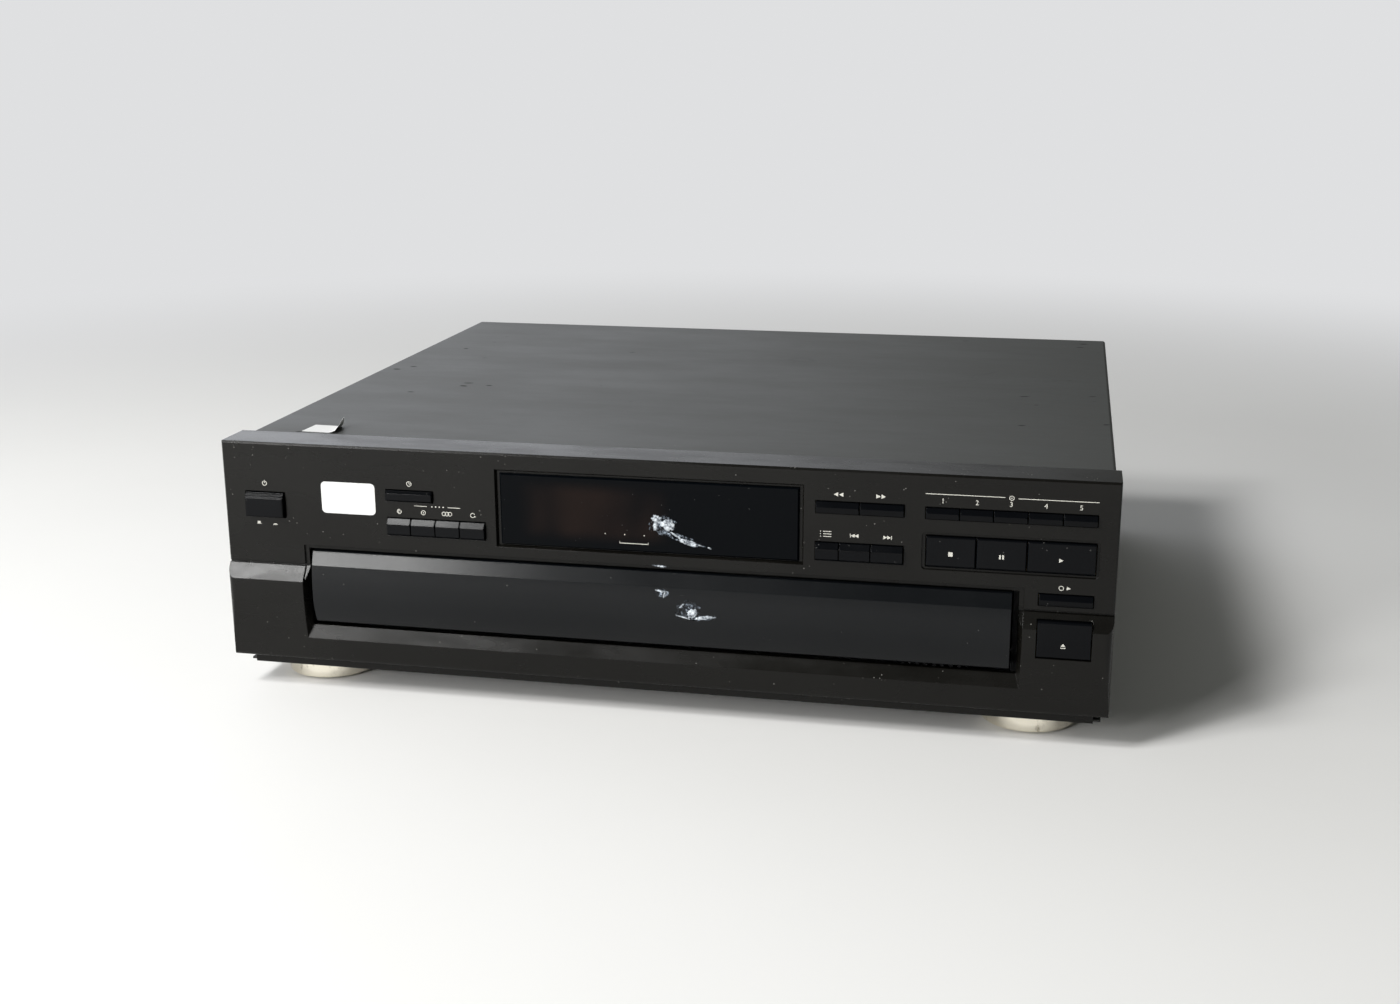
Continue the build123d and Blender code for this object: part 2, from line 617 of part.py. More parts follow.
DRIVE_X = RACK_X - DRIVE_TEETH * MODULE / 2
TRAIN_C = (WHEEL_TEETH + PINION_TEETH) * MODULE / 2
PULLEY_X = DRIVE_X + polar(TRAIN_ANGLE, TRAIN_C)[0]
PULLEY_Y = DRIVE_Y + polar(TRAIN_ANGLE, TRAIN_C)[1]
LOAD_MOTOR_X = PULLEY_X - MOTOR_REACH
LOAD_MOTOR_Y = PULLEY_Y + 6.0
GROOVE_DEEP = 1.6
BELT_Z = 26.5
BELT_T = 1.6
POST_R = 2.5
TRAVERSE = (-48.0, 48.0, 196.0, 326.0)
TRAVERSE_HOLE = (-50.0, 50.0, 200.0, 322.0)
EARS = [(-56.0, 212.0), (56.0, 212.0), (-56.0, 310.0), (56.0, 310.0)]


def mechanism_base():
    """Moulded frame: floor, side walls with the drawer rails, gear posts and legs."""
    base = block(-BASE_OUT, BASE_OUT, BASE_FRONT, BASE_REAR, BASE_FLOOR - 2.5, BASE_FLOOR)
    for side in (-1, 1):
        base += block(*sorted((side * BASE_IN, side * BASE_OUT)), BASE_FRONT, BASE_REAR, DECK_FLOOR, BASE_TOP)
        base += block(*sorted((side * RAIL_IN, side * (BASE_IN + 0.1))), BASE_FRONT, BASE_REAR,
                      RAIL_LOW, RAIL_HIGH)
        base -= block(*sorted((side * (BASE_IN - 1), side * (BASE_OUT + 1))), 60, 180, 46, BASE_TOP + 1)
        base += block(*sorted((side * 110, side * 112)), 60, BASE_REAR, DECK_FLOOR, BASE_FLOOR - 2)
    for y in (BASE_FRONT, 96, 184, BASE_REAR - 2):
        base += block(-BASE_OUT, BASE_OUT, y, y + 2, DECK_FLOOR, BASE_FLOOR - 2)
    x0, x1, y0, y1 = TRAVERSE_HOLE
    base -= block(x0, x1, y0, y1, 0, 30)
    for x in (-140, 140):
        base -= block(x - 20, x + 20, 200, 320, BASE_FLOOR - 3, BASE_FLOOR + 1)
    for x in (-120, -40, 20):
        base -= block(x - 30, x + 30, 108, 172, BASE_FLOOR - 3, BASE_FLOOR + 1)
    base -= post(LOAD_MOTOR_X, LOAD_MOTOR_Y, 12.4, 0, 30)
    base += post(DRIVE_X, DRIVE_Y, POST_R + 3, BASE_FLOOR - 1, 28.6)
    base += post(DRIVE_X, DRIVE_Y, POST_R, 28, 38.0)
    base += post(PULLEY_X, PULLEY_Y, POST_R + 1.5, BASE_FLOOR - 1, 24.2)
    base += post(PULLEY_X, PULLEY_Y, POST_R, 24, 34.0)
    for x, y in EARS:
        base += post(x, y, 2.0, BASE_FLOOR - 1, 30.5)
    return base


def drive_gear():
    """Lower wheel driven by the pulley gear, upper gear in mesh with the drawer's rack."""
    upper = Pos(DRIVE_X, DRIVE_Y, 0) * gear(DRIVE_TEETH, MODULE, 32.9, 38.2, turn=0.0)
    lower = Pos(DRIVE_X, DRIVE_Y, 0) * gear(WHEEL_TEETH, MODULE, 29.0, 33.0, turn=TRAIN_ANGLE)
    return upper + lower - post(DRIVE_X, DRIVE_Y, POST_R + RUN_FIT, 20, 45)


def pulley_gear():
    """Grooved pulley with the pinion that drives the large wheel."""
    turn = meshed_turn(PINION_TEETH, TRAIN_ANGLE + 180, WHEEL_TEETH, TRAIN_ANGLE)
    pinion = Pos(PULLEY_X, PULLEY_Y, 0) * gear(PINION_TEETH, MODULE, 28.4, 33.6, turn=turn)
    pulley = post(PULLEY_X, PULLEY_Y, PULLEY_R, 24.5, 28.5)
    pulley -= groove(PULLEY_X, PULLEY_Y, PULLEY_R)
    return pinion + pulley - post(PULLEY_X, PULLEY_Y, POST_R + RUN_FIT, 20, 45)


def groove(x, y, r):
    """Ring cut from a pulley for the belt."""
    return post(x, y, r + 1, BELT_Z - 1.1, BELT_Z + 1.1) - post(x, y, r - GROOVE_DEEP, BELT_Z - 2, BELT_Z + 2)


def motor_pulley():
    """Small pulley on the loading motor's shaft."""
    pulley = post(LOAD_MOTOR_X, LOAD_MOTOR_Y, MOTOR_PULLEY_R, 24.5, 28.5)
    pulley -= groove(LOAD_MOTOR_X, LOAD_MOTOR_Y, MOTOR_PULLEY_R)
    return pulley - post(LOAD_MOTOR_X, LOAD_MOTOR_Y, 1.0 + RUN_FIT, 20, 30)


def loading_motor():
    """Flat motor can set in the floor, with a flange and a shaft."""
    can = post(LOAD_MOTOR_X, LOAD_MOTOR_Y, 12.0, DECK_FLOOR + 0.5, 23.6)
    flange = block(LOAD_MOTOR_X - 16, LOAD_MOTOR_X + 16, LOAD_MOTOR_Y - 5, LOAD_MOTOR_Y + 5, BASE_FLOOR, 24.0)
    return can + flange + post(LOAD_MOTOR_X, LOAD_MOTOR_Y, 1.0, 20, 28.8)


def loop_plan(grow):
    """Plan of the belt's outline, grown outwards from the bottom of the pulley grooves."""
    big = Pos(PULLEY_X, PULLEY_Y) * Circle(PULLEY_R - GROOVE_DEEP + grow)
    small = Pos(LOAD_MOTOR_X, LOAD_MOTOR_Y) * Circle(MOTOR_PULLEY_R - GROOVE_DEEP + grow)
    return make_hull(big.edges() + small.edges())


def loading_belt():
    """Square rubber belt round the two pulleys."""
    belt = extrude(loop_plan(0.15 + BELT_T) - loop_plan(0.15), BELT_T)
    return Pos(0, 0, BELT_Z - BELT_T / 2) * belt


# ---------------------------------------------------------------- traverse and clamper


def traverse_base():
    """Plate that carries the spindle, the pickup's rods and the feed motor."""
    x0, x1, y0, y1 = TRAVERSE
    plate = block(x0, x1, y0, y1, 25.0, 27.5)
    for x, y in EARS:
        plate += block(*sorted((x * 0.8, x * 1.1)), y - 7, y + 7, 25.0, 27.5)
        plate -= post(x, y, 3.2, 24, 30)
    plate -= block(-18, 18, 206, 262, 20, 30)
    for x in (-ROD_X, ROD_X):
        for y in (LENS_Y - 11.5 - PICKUP_TRAVEL - 3.5, 267.0):
            plate += block(x - 3, x + 3, y, y + 3, 27.0, ROD_Z + 3)
            plate -= rod_y(x, ROD_Z, ROD_R, y - 1, y + 4)
    plate += block(SCREW_X - 3, SCREW_X + 3, 202.2, 204.4, 27.0, ROD_Z + 3)
    plate -= rod_y(SCREW_X, ROD_Z, 0.8, 200, 205)
    plate -= post(0, PLAY_Y, 3.0, 20, 30)
    plate += block(-46, -44, 215, 310, 27.4, 31)
    plate += block(44, 46, 215, 255, 27.4, 31)
    return plate


def damper_grommets():
    """Four soft bushes under the traverse's ears."""
    rings = []
    for x, y in EARS:
        ring = post(x, y, 5.5, BASE_FLOOR, 25.0) + post(x, y, 3.1, 24.9, 28.6)
        ring += post(x, y, 5.0, 27.5, 28.8)
        rings.append(ring - post(x, y, 2.1, 20, 31))
    return group(rings)


def spindle_motor():
    """Disc motor under the traverse plate with its shaft."""
    return post(0, PLAY_Y, 12.5, 12.5, 25.0) + post(0, PLAY_Y, 1.0, 24, 34.0) + post(0, PLAY_Y, 2.9, 24.9, 27.8)


def spindle_hub():
    """Turntable with a centring cone, free to spin on the motor's shaft."""
    table = post(0, PLAY_Y, 14.5, 29.0, 31.5)
    cone = Pos(0, PLAY_Y, 33.7) * Cone(7.4, 6.0, 4.6)
    return table + cone - post(0, PLAY_Y, 1.0 + RUN_FIT, 20, 34.6)


def guide_rods():
    """Two polished rods that the pickup slides on."""
    y0 = LENS_Y - 11.5 - PICKUP_TRAVEL - 3.5
    return group([rod_y(x, ROD_Z, ROD_R, y0, 270.0) for x in (-ROD_X, ROD_X)])


def pickup():
    """Laser sled on the rods, with an arm that follows the feed screw."""
    sled = block(-26, 26, LENS_Y - 11.5, LENS_Y + 8.5, ROD_Z - 2.7, ROD_Z + 2.7)
    sled += block(-13, 13, LENS_Y - 10, LENS_Y + 7.5, 24.6, ROD_Z)
    sled += block(-9, 9, LENS_Y - 8, LENS_Y + 6, ROD_Z, ROD_Z + 3.4)
    for x in (-ROD_X, ROD_X):
        sled -= rod_y(x, ROD_Z, ROD_R + RUN_FIT, 190, 280)
    sled += block(25.5, SCREW_X + 3, LENS_Y - 3, LENS_Y + 3, ROD_Z + SCREW_R + 0.4, ROD_Z + SCREW_R + 1.8)
    sled += block(24, 27, LENS_Y - 3, LENS_Y + 3, ROD_Z, ROD_Z + SCREW_R + 1.8)
    return sled - post(0, LENS_Y, 4.0, ROD_Z + 1.5, 40)


def pickup_lens():
    """Objective lens with its holder, set in the sled."""
    holder = post(0, LENS_Y, 3.9, ROD_Z + 1.5, ROD_Z + 4.0)
    dome = Pos(0, LENS_Y, ROD_Z + 2.2) * Sphere(3.0)
    return holder + (dome & post(0, LENS_Y, 3.5, ROD_Z + 2.0, ROD_Z + 6.0))


def feed_motor():
    """Small motor that turns the feed screw."""
    body = rod_y(SCREW_X, ROD_Z + 2.2, 5.2, 263.0, 283.0) & block(20, 40, 260, 290, 27.5, 40)
    return body + block(SCREW_X - 5, SCREW_X + 5, 263.0, 264.5, 27.5, ROD_Z + 6.0)


def feed_screw():
    """Grooved feed screw in front of its motor."""
    screw = rod_y(SCREW_X, ROD_Z, SCREW_R, 205.0, 262.6) + rod_y(SCREW_X, ROD_Z, 0.7, 202.4, 206)
    for k in range(18):
        y = 207.5 + 3.0 * k
        screw -= rod_y(SCREW_X, ROD_Z, 3, y, y + 1.2) - rod_y(SCREW_X, ROD_Z, 1.2, y - 1, y + 3)
    return screw


def clamper_bridge():
    """Steel bridge over the drawer that holds the clamper and carries the main board."""
    deck = block(-BASE_OUT - 3, BASE_OUT + 3, DECK_FRONT, BASE_REAR, DECK_Z, DECK_Z + DECK_T)
    deck += block(-BASE_OUT - 3, BASE_OUT + 3, DECK_FRONT, DECK_FRONT + DECK_T, DECK_Z, DECK_Z + 5)
    deck -= post(0, PLAY_Y, CLAMP_HOLE_R, 70, 90)
    for x in (-130, -80):
        deck -= block(x - 18, x + 18, 220, 320, 70, 90)
    for x, y in BOARD_POSTS:
        deck += post(x, y, 3.0, DECK_Z + DECK_T - 0.1, MAIN_Z)
    return deck


def disc_clamper():
    """Magnetic puck that hangs in the bridge and holds a disc on the spindle."""
    puck = post(0, PLAY_Y, 15.0, 72.5, 77.3)
    puck = chamfer(puck.edges().sort_by(Axis.Z)[0], 1.0)
    puck += post(0, PLAY_Y, CLAMP_HOLE_R - 1.0, 77.0, 80.0)
    puck += post(0, PLAY_Y, 15.5, DECK_Z + DECK_T + 0.4, 82.0)
    return puck - post(0, PLAY_Y, 7.8, 70, 76)


MAIN_Z = 86.0
MAIN = (27.0, 171.0, 200.0, 340.0)
BOARD_POSTS = [(33.0, 206.0), (165.0, 206.0), (33.0, 334.0), (165.0, 334.0)]
CAPACITORS = [(50, 220, 5), (70, 222, 6.5), (95, 218, 4), (150, 225, 5), (60, 310, 8), (84, 312, 8), (150, 300, 5)]
CHIPS = [(110, 250, 9, 9), (75, 260, 8, 12), (140, 255, 6, 14), (115, 300, 12, 5)]


def main_board():
    """Main circuit board with capacitors, chips, a heat sink and connectors."""
    x0, x1, y0, y1 = MAIN
    board = block(x0, x1, y0, y1, MAIN_Z, MAIN_Z + 1.6)
    top = MAIN_Z + 1.6
    parts = [post(x, y, r, top, top + 2.4 * r) for x, y, r in CAPACITORS]
    parts += [block(x - w, x + w, y - d, y + d, top, top + 3) for x, y, w, d in CHIPS]
    fins = block(40, 90, 328, 330, top, top + 24)
    for k in range(6):
        fins += block(42 + 9 * k, 43.5 + 9 * k, 329.9, 336, top, top + 24)
    parts.append(fins)
    parts += [block(x, x + 18, 202, 207, top, top + 8) for x in (60, 90, 120)]
    return board + parts


# ---------------------------------------------------------------- drawer

RING_C = (RING_TEETH + IDLER_TEETH) * MODULE / 2
IDLER_X = polar(IDLER_ANGLE, RING_C)[0]
IDLER_Y = CAROUSEL_Y + polar(IDLER_ANGLE, RING_C)[1]
FINE_C = (IDLER_WHEEL_TEETH + CAROUSEL_PINION_TEETH) * FINE_MODULE / 2
SPIN_X = IDLER_X + polar(MOTOR_ANGLE, FINE_C)[0]
SPIN_Y = IDLER_Y + polar(MOTOR_ANGLE, FINE_C)[1]
IDLER_POST_R = 2.5


def drawer_front():
    """Drawer front with a bevelled top, a crease and a full face that tucks in at its foot."""
    crease, full = (-CREASE_OUT, CREASE_Z), (-BULGE, BULGE_Z)
    foot = (-FRONT_FOOT_OUT, FRONT_LOW + 0.4)
    fall, tuck = BULGE_Z - foot[1], BULGE - FRONT_FOOT_OUT
    radius = (fall ** 2 + tuck ** 2) / (2 * tuck)
    turn = asin(fall / radius) / 2
    outline = [
        Polyline((FRONT_BACK, FRONT_LOW), (FRONT_BACK, FRONT_HIGH - 0.6), (FRONT_BACK - 0.6, FRONT_HIGH),
                 (-1.6, FRONT_HIGH), (-2.0, FRONT_HIGH - 0.4), crease),
        ThreePointArc(crease, (-4.85, 59.5), full),
        ThreePointArc(full, (radius - BULGE - radius * cos(turn), BULGE_Z - radius * sin(turn)), foot),
        Polyline(foot, (-FRONT_FOOT_OUT + 0.5, FRONT_LOW), (FRONT_BACK, FRONT_LOW)),
    ]
    front = across(outline, -FRONT_HALF, FRONT_HALF)
    front -= block(-160, 160, -0.5, FRONT_BACK - 1.0, FRONT_LOW - 1, FRONT_HIGH - 4)
    return front


def drawer_tray():
    """Tray with a round well for the carousel, its rack and the hooks that run on the rails."""
    tray = block(-TRAY_HALF, TRAY_HALF, FRONT_BACK, TRAY_REAR, TRAY_LOW, TRAY_FLOOR)
    rim = block(-TRAY_HALF, TRAY_HALF, FRONT_BACK, TRAY_REAR, TRAY_FLOOR - 0.1, CAROUSEL_HIGH - 1.5)
    rim -= post(0, CAROUSEL_Y, CAROUSEL_R + 0.9, TRAY_FLOOR - 1, 70)
    tray += rim
    corner = block(-TRAY_HALF, TRAY_HALF, FRONT_BACK, TRAY_REAR, CAROUSEL_HIGH - 1.6, TRAY_RIM)
    corner -= block(-TRAY_HALF + TRAY_WALL, TRAY_HALF - TRAY_WALL, FRONT_BACK + TRAY_WALL,
                    TRAY_REAR - TRAY_WALL, 50, 70)
    tray += corner - post(0, CAROUSEL_Y, CAROUSEL_R + 0.9, 50, 70)
    for x_sign in (-1, 1):
        for y_sign in (-1, 1):
            pocket = closed((x_sign * 164, CAROUSEL_Y + y_sign * 162), (x_sign * 128, CAROUSEL_Y + y_sign * 162),
                            (x_sign * 164, CAROUSEL_Y + y_sign * 128))
            tray -= upright(pocket, TRAY_LOW - 1, CAROUSEL_HIGH - 4)
    tray -= block(-30, 30, PLAY_Y - 62, PLAY_Y + 20, TRAY_LOW - 1, TRAY_FLOOR + 1)
    tray -= block(-30, 30, PLAY_Y + 19, TRAY_REAR - 3, TRAY_LOW - 1, TRAY_FLOOR + 1)
    tray += post(0, CAROUSEL_Y, HUB_POST_R, TRAY_LOW, 56.0)
    tray += post(0, CAROUSEL_Y, HUB_POST_R + 6, TRAY_FLOOR - 0.1, 43.4)
    tray += post(IDLER_X, IDLER_Y, IDLER_POST_R, TRAY_FLOOR - 0.1, 46.6)
    tray -= post(SPIN_X, SPIN_Y, 10.6, 30, 45)
    tray += hooks()
    return tray + rack()


def hooks():
    """L-shaped runners under the tray that hold it down on the rails."""
    pair = []
    for side in (-1, 1):
        web = block(*sorted((side * 159.6, side * 161.4)), 12, TRAY_REAR - 4, HOOK_Z, TRAY_LOW + 0.1)
        foot = block(*sorted((side * 161.3, side * 164.4)), 12, TRAY_REAR - 4, HOOK_Z, RAIL_LOW - 0.3)
        pair.append(web + foot)
    return pair


def rack():
    """Rack under the tray, in mesh with the drive gear while the drawer is shut."""
    pitch = pi * MODULE
    before = int((DRIVE_Y - RACK_SPAN[0]) / pitch)
    teeth = int((RACK_SPAN[1] - RACK_SPAN[0]) / pitch)
    start = DRIVE_Y - before * pitch
    return upright(closed(*rack_outline(teeth, RACK_X, start)), HOOK_Z, TRAY_LOW + 0.1)


def carousel_motor():
    """Flat motor in the tray's floor."""
    can = post(SPIN_X, SPIN_Y, 10.4, HOOK_Z, 40.7)
    tabs = block(SPIN_X - 14, SPIN_X + 14, SPIN_Y - 3, SPIN_Y + 3, 37.7, TRAY_LOW)
    return can + tabs + post(SPIN_X, SPIN_Y, 0.75, 40, 43.6)


def carousel_pinion():
    """Pinion on the carousel motor."""
    turn = meshed_turn(CAROUSEL_PINION_TEETH, MOTOR_ANGLE + 180, IDLER_WHEEL_TEETH, MOTOR_ANGLE)
    pinion = Pos(SPIN_X, SPIN_Y, 0) * gear(CAROUSEL_PINION_TEETH, FINE_MODULE, 41.3, 43.4, turn=turn)
    return pinion - post(SPIN_X, SPIN_Y, 0.75 + RUN_FIT, 40, 45)


def carousel_gear():
    """Stepped gear between the motor's pinion and the carousel's ring gear."""
    turn = meshed_turn(IDLER_TEETH, IDLER_ANGLE + 180, RING_TEETH, IDLER_ANGLE)
    wheel = Pos(IDLER_X, IDLER_Y, 0) * gear(IDLER_WHEEL_TEETH, FINE_MODULE, 41.3, 43.3, turn=MOTOR_ANGLE)
    top = Pos(IDLER_X, IDLER_Y, 0) * gear(IDLER_TEETH, MODULE, 43.2, 46.6, turn=turn)
    return wheel + top - post(IDLER_X, IDLER_Y, IDLER_POST_R + RUN_FIT, 40, 50)


def pocket_cut(angle):
    """One disc pocket: sloping rim, lower seat for a small disc and the traverse's window."""
    x, y = polar(angle, POCKET_RING)
    depth = CAROUSEL_HIGH - POCKET_FLOOR
    rim = Pos(x, y, (CAROUSEL_HIGH + POCKET_FLOOR) / 2) * Cone(POCKET_R - 1.0, POCKET_R, depth)
    rim += post(x, y, POCKET_R, CAROUSEL_HIGH - 0.01, CAROUSEL_HIGH + 10)
    seat = post(x, y, SEAT_R, SEAT_Z, POCKET_FLOOR + 1)
    slot = block(POCKET_RING - 58, POCKET_RING, -WINDOW_HALF, WINDOW_HALF, 40, 60)
    slot += post(POCKET_RING, 0, WINDOW_HALF, 40, 60)
    return rim + seat + Rot(0, 0, angle) * slot


def carousel():
    """Turntable with five disc pockets, a hub cap and a ring gear underneath."""
    plate = post(0, 0, CAROUSEL_R, CAROUSEL_LOW, CAROUSEL_HIGH)
    for k in range(DISC_POCKETS):
        plate -= pocket_cut(90 + k * 360 / DISC_POCKETS)
    skirt = post(0, 0, CAROUSEL_R, 44.0, CAROUSEL_LOW + 0.1) - post(0, 0, CAROUSEL_R - 2, 40, 50)
    dome = post(0, 0, 36.0, CAROUSEL_HIGH - 0.1, 58.6) + Pos(0, 0, 60.0) * Cone(22.0, 17.0, 3.0)
    ring = gear(RING_TEETH, MODULE, 43.6, CAROUSEL_LOW + 0.1, turn=IDLER_ANGLE)
    body = plate + skirt + dome + ring
    body -= post(0, 0, HUB_POST_R + RUN_FIT, 30, 56.3)
    return Pos(0, CAROUSEL_Y, 0) * body


# ---------------------------------------------------------------- build

PIECES = [
    front_panel, top_cover, bottom_chassis, rear_panel, feet, foot_pads, display_window,
    display_module, operation_board, tact_switches, main_board, power_transformer, power_switch,
    output_jacks, ac_inlet, case_screws, mechanism_base, loading_motor, loading_belt,
    clamper_bridge, traverse_base, damper_grommets, spindle_motor, guide_rods, feed_motor,
    motor_pulley, pulley_gear, drive_gear, spindle_hub, disc_clamper, pickup, pickup_lens,
    feed_screw, drawer_tray, drawer_front, carousel_motor, carousel_pinion, carousel_gear, carousel,
]

for piece in PIECES:
    save(piece.__name__, piece())
save_buttons()
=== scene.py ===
import json
import math
import random

import bmesh
import bpy
from mathutils import Matrix, Vector


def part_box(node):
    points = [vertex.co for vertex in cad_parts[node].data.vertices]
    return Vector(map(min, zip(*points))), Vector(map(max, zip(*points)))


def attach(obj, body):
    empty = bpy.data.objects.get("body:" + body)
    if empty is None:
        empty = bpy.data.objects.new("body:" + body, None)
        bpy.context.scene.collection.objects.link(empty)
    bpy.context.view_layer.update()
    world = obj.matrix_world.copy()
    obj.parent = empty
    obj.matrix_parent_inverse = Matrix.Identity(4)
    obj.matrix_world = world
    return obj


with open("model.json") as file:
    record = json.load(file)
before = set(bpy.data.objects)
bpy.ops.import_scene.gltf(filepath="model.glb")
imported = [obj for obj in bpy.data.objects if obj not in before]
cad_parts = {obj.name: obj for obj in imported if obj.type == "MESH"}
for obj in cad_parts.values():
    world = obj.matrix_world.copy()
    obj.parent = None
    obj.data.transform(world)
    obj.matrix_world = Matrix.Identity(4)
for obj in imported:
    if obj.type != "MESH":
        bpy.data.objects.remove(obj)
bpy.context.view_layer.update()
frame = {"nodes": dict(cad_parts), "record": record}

MM = 0.001

# ---------------------------------------------------------------- places, from the frame

STEP_OUT = 4.65                                        # the lower section stands this far out
FACE_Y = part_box("front_panel")[0].y / MM + STEP_OUT    # upper front face, in millimetres
COVER_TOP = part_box("top_cover")[1].z / MM


def at(x, y, z):
    """A point laid out from the upper front face in millimetres, as row-frame metres."""
    return Vector((x * MM, (y + FACE_Y) * MM, z * MM))


def front_of(node):
    """How far a node's foremost point lies from the upper front face, in millimetres."""
    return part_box(node)[0].y / MM - FACE_Y


# ---------------------------------------------------------------- camera and lamps

CAMERA_AT = (185.3, -745.0, 316.4)   # millimetres, laid out from the upper front face
CAMERA_AZ, CAMERA_EL, CAMERA_ROLL = 12.14, 15.28, -0.25
FOCAL_PX, PHOTO_W = 1701.7, 1400
SENSOR = 36.0
CLIP = (0.01, 50.0)


def make_camera():
    """The photograph's camera, from its fitted place, direction and focal length."""
    az, el, roll = (math.radians(a) for a in (CAMERA_AZ, CAMERA_EL, CAMERA_ROLL))
    back = Vector((math.sin(az) * math.cos(el), -math.cos(az) * math.cos(el), math.sin(el)))
    right = (-back).cross(Vector((0, 0, 1))).normalized()
    up = right.cross(-back)
    tilted = math.cos(roll) * right + math.sin(roll) * up
    upright = -math.sin(roll) * right + math.cos(roll) * up
    data = bpy.data.cameras.new("photo_camera")
    data.sensor_width = SENSOR
    data.lens = SENSOR * FOCAL_PX / PHOTO_W
    data.clip_start, data.clip_end = CLIP
    camera = bpy.data.objects.new("photo_camera", data)
    turn = Matrix((tilted, upright, back)).transposed().to_4x4()
    camera.matrix_world = Matrix.Translation(at(*CAMERA_AT)) @ turn
    bpy.context.scene.collection.objects.link(camera)
    bpy.context.scene.camera = camera


LEDGE = (-0.17, -0.19, 0.06)         # left end of the sloping ledge, in metres
PANE_WHITE = (1.0, 1.0, 0.99)
# Each lamp's name, place and aim in metres, size, power and colour.
LAMPS = (
    ("wide_window", (-1.75, -1.60, 0.88), (0.0, -0.1, 0.06), (1.5, 1.1), 20.0, (1.0, 0.995, 0.98)),
    ("low_pane", (-1.10, -2.09, 0.68), (-0.17, -0.19, 0.07), (0.35, 0.50), 21.0, PANE_WHITE),
    ("mid_pane", (-1.14, -1.48, 1.56), LEDGE, (0.36, 0.42), 23.0, PANE_WHITE),
    ("high_pane", (-1.04, -1.06, 1.88), LEDGE, (0.45, 0.50), 27.0, PANE_WHITE),
)


def make_lamps():
    """Soft lamps on the left, as a tall window gives: a wide low one and three bright panes."""
    for name, place, aim, size, watts, colour in LAMPS:
        data = bpy.data.lights.new(name, "AREA")
        data.shape, data.size, data.size_y = "RECTANGLE", *size
        data.energy, data.color = watts, colour
        lamp = bpy.data.objects.new(name, data)
        look = (Vector(aim) - Vector(place)).to_track_quat("-Z", "Y")
        lamp.matrix_world = Matrix.Translation(place) @ look.to_matrix().to_4x4()
        bpy.context.scene.collection.objects.link(lamp)


# ---------------------------------------------------------------- shader maths


class Value:
    """A node socket that takes part in arithmetic."""

    def __init__(self, graph, socket):
        self.graph = graph
        self.socket = socket

    def math(self, operation, other=0.0, swap=False):
        """This value and another through one maths node."""
        pair = (other, self) if swap else (self, other)
        return self.graph.node("ShaderNodeMath", {0: pair[0], 1: pair[1]}, operation=operation)

    def __add__(self, other):
        return self.math("ADD", other)

    def __sub__(self, other):
        return self.math("SUBTRACT", other)

    def __mul__(self, other):
        return self.math("MULTIPLY", other)

    def __rsub__(self, other):
        return self.math("SUBTRACT", other, swap=True)


class Graph:
    """An emptied node tree and the steps that fill it."""

    def __init__(self, tree):
        self.tree = tree
        tree.nodes.clear()

    def feed(self, socket, value):
        """Link a value to a socket, or set the socket to a plain number or colour."""
        if isinstance(value, Value):
            self.tree.links.new(value.socket, socket)
        else:
            socket.default_value = value

    def node(self, kind, values=None, output=0, **settings):
        """Add a node: its settings first, then its sockets. Returns one output."""
        node = self.tree.nodes.new(kind)
        for key, value in settings.items():
            setattr(node, key, value)
        for key, value in (values or {}).items():
            self.feed(node.inputs[key], value)
        return Value(self, node.outputs[output])

    def ramp(self, value, low, high, a=0.0, b=1.0):
        """A value carried smoothly from a to b between low and high."""
        values = {"Value": value, "From Min": low, "From Max": high, "To Min": a, "To Max": b}
        return self.node("ShaderNodeMapRange", values, interpolation_type="SMOOTHSTEP")

    def mix(self, factor, a, b):
        """Two colours mixed."""
        node = self.tree.nodes.new("ShaderNodeMix")
        node.data_type = "RGBA"
        self.feed(node.inputs[0], factor)
        for socket, colour in ((node.inputs[6], a), (node.inputs[7], b)):
            self.feed(socket, colour if isinstance(colour, Value) else (*colour, 1.0))
        return Value(self, node.outputs[2])


